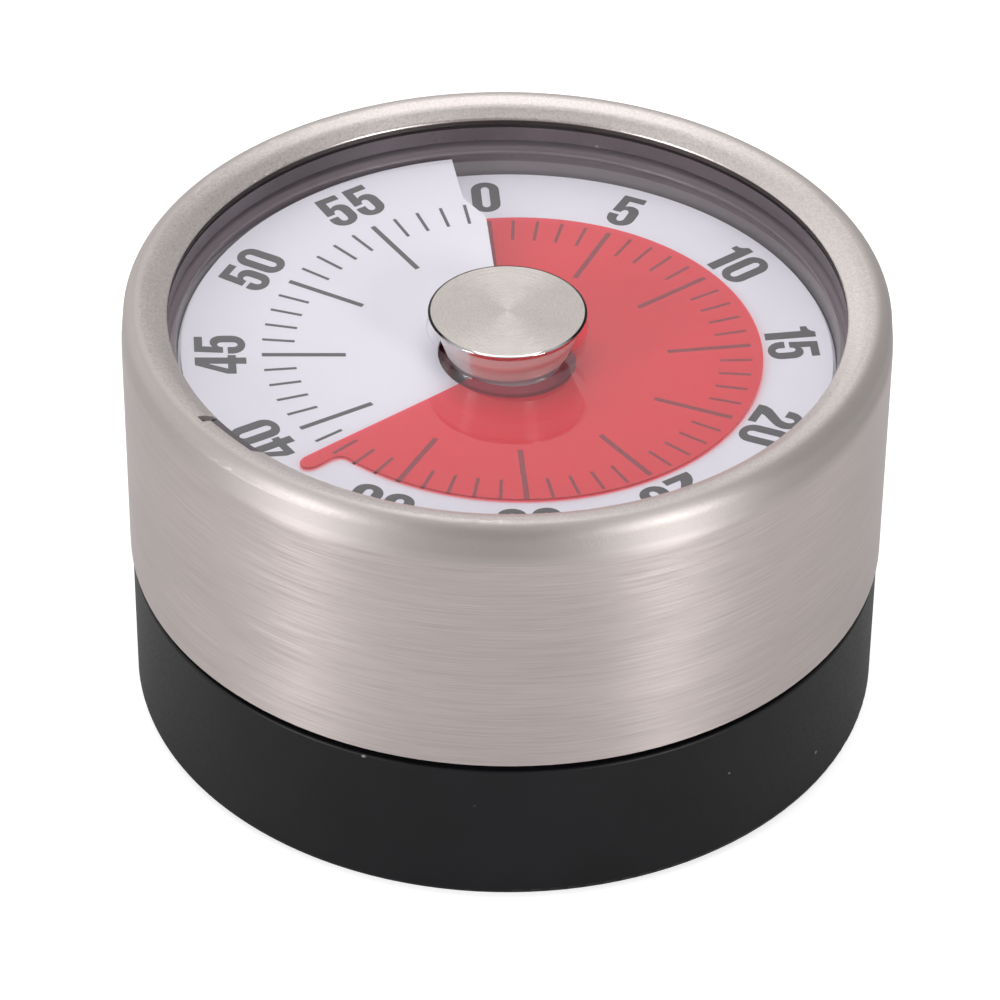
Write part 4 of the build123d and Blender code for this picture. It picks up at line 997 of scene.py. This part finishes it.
def light_surroundings(scene):
    """Plain white behind the timer, and a soft studio gradient for light and reflections."""
    world = bpy.data.worlds.new("studio")
    scene.world = world
    world.use_nodes = True
    w = Nodes(world.node_tree)
    path = w.add("ShaderNodeLightPath").outputs
    seen = w.math("MAXIMUM", path["Is Camera Ray"], path["Is Transmission Ray"])
    heading = w.add("ShaderNodeTexCoord").outputs["Generated"]

    def ramp(axis, start, end, low, high):
        return w.spread(w.axis(heading, axis), low, high, start, end, "SMOOTHSTEP")

    depth = ramp("Y", -0.75, 0.5, 0.42, 0.85)
    height = ramp("Z", 0.1, 0.9, 0.98, 0.72)
    side = ramp("X", -0.40, 0.30, 1.48, 0.73)
    overhead = ramp("Z", 0.55, 0.95, 0.0, 1.0)
    side = w.mix(overhead, side, 1.0)
    light = w.math("MULTIPLY", w.math("MULTIPLY", depth, height), side)
    background = w.tree.nodes["Background"]
    w.put(background, "Strength", w.mix(seen, light, 1.0))
    w.put(background, "Color", (*WHITE, 1.0))


def area_lamp(name, target, place, size, power):
    """Rectangular lamp that faces a point."""
    lamp = bpy.data.lights.new(name, "AREA")
    lamp.shape = "RECTANGLE"
    lamp.size = size[0]
    lamp.size_y = size[1]
    lamp.energy = power
    holder = bpy.data.objects.new(name, lamp)
    holder.location = place
    holder.rotation_euler = (Vector(target) - Vector(place)).to_track_quat("-Z", "Y").to_euler()
    bpy.context.scene.collection.objects.link(holder)
    return holder


def hang_lamps():
    """Softboxes at both sides and above; the fill lights the dial without showing in the metal."""
    middle = (0.0, 0.0, 0.03)
    lamps = {name: area_lamp(name, middle, *values) for name, values in SOFTBOXES.items()}
    lamps["fill_softbox"].visible_glossy = False
    # The side lamps' mirror image in the lens would hide the dial from low behind.
    kept_dark = bpy.data.collections.new("kept_from_side_lamps")
    kept_dark.objects.link(bpy.data.objects["lens_pane"])
    kept_dark.collection_objects[0].light_linking.link_state = "EXCLUDE"
    for name in ("left_softbox", "right_softbox"):
        lamps[name].light_linking.receiver_collection = kept_dark


def stand_camera(scene, stage):
    """Camera that looks down on the timer from the front."""
    camera_data = bpy.data.cameras.new("camera")
    camera = bpy.data.objects.new("camera", camera_data)
    scene.collection.objects.link(camera)
    camera_data.sensor_width = 36.0
    camera_data.lens = stage.focal_length
    camera_data.shift_x, camera_data.shift_y = stage.camera_shift
    camera_data.clip_start = 0.01
    camera_data.clip_end = 20.0
    place = Vector(stage.camera_place)
    aim = (Vector(stage.camera_target) - place).to_track_quat("-Z", "Y").to_matrix().to_4x4()
    roll = Matrix.Rotation(stage.camera_roll, 4, "Z")
    camera.matrix_world = Matrix.Translation(place) @ aim @ roll
    scene.camera = camera


class TIMER_OT_stage(bpy.types.Operator):
    """Set up the floor, the lamps, the surroundings and the camera"""

    bl_idname = "timer.stage"
    bl_label = "Stage"

    def execute(self, context):
        scene = context.scene
        scene.view_settings.view_transform = "Standard"
        lay_floor(scene, scene.timer_stage, scene.timer_colours)
        light_surroundings(scene)
        hang_lamps()
        stand_camera(scene, scene.timer_stage)
        return {"FINISHED"}


class TIMER_PT_panel(bpy.types.Panel):
    """Lists the pieces and the settings"""

    bl_idname = "TIMER_PT_panel"
    bl_label = "Wind-up timer"
    bl_space_type = "VIEW_3D"
    bl_region_type = "UI"
    bl_category = "Timer"

    def draw(self, context):
        for name in PIECES:
            self.layout.operator(f"timer.{name}")
        scene = context.scene
        groups = (
            scene.timer_dial, scene.timer_glazing, scene.timer_knob, scene.timer_colours,
            scene.timer_stage,
        )
        for group in groups:
            box = self.layout.box()
            for key in group.__annotations__:
                box.prop(group, key)


PIECES = ("case", "dial", "glazing", "knob", "movement", "stage")
CLASSES = (
    TimerDialSizes, TimerGlazingSizes, TimerKnobSizes, TimerColours, TimerStage,
    TIMER_OT_case, TIMER_OT_dial, TIMER_OT_glazing, TIMER_OT_knob, TIMER_OT_movement,
    TIMER_OT_stage, TIMER_PT_panel,
)


def register():
    """Add the classes and the settings to Blender."""
    for item in CLASSES:
        bpy.utils.register_class(item)
    bpy.types.Scene.timer_dial = bpy.props.PointerProperty(type=TimerDialSizes)
    bpy.types.Scene.timer_glazing = bpy.props.PointerProperty(type=TimerGlazingSizes)
    bpy.types.Scene.timer_knob = bpy.props.PointerProperty(type=TimerKnobSizes)
    bpy.types.Scene.timer_colours = bpy.props.PointerProperty(type=TimerColours)
    bpy.types.Scene.timer_stage = bpy.props.PointerProperty(type=TimerStage)


def unregister():
    """Take the settings and the classes out again."""
    del bpy.types.Scene.timer_stage
    del bpy.types.Scene.timer_colours
    del bpy.types.Scene.timer_knob
    del bpy.types.Scene.timer_glazing
    del bpy.types.Scene.timer_dial
    for item in reversed(CLASSES):
        bpy.utils.unregister_class(item)


def main():
    """Dress the whole timer and set its stage."""
    register()
    for name in PIECES:
        getattr(bpy.ops.timer, name)()


if __name__ == "__main__":
    main()
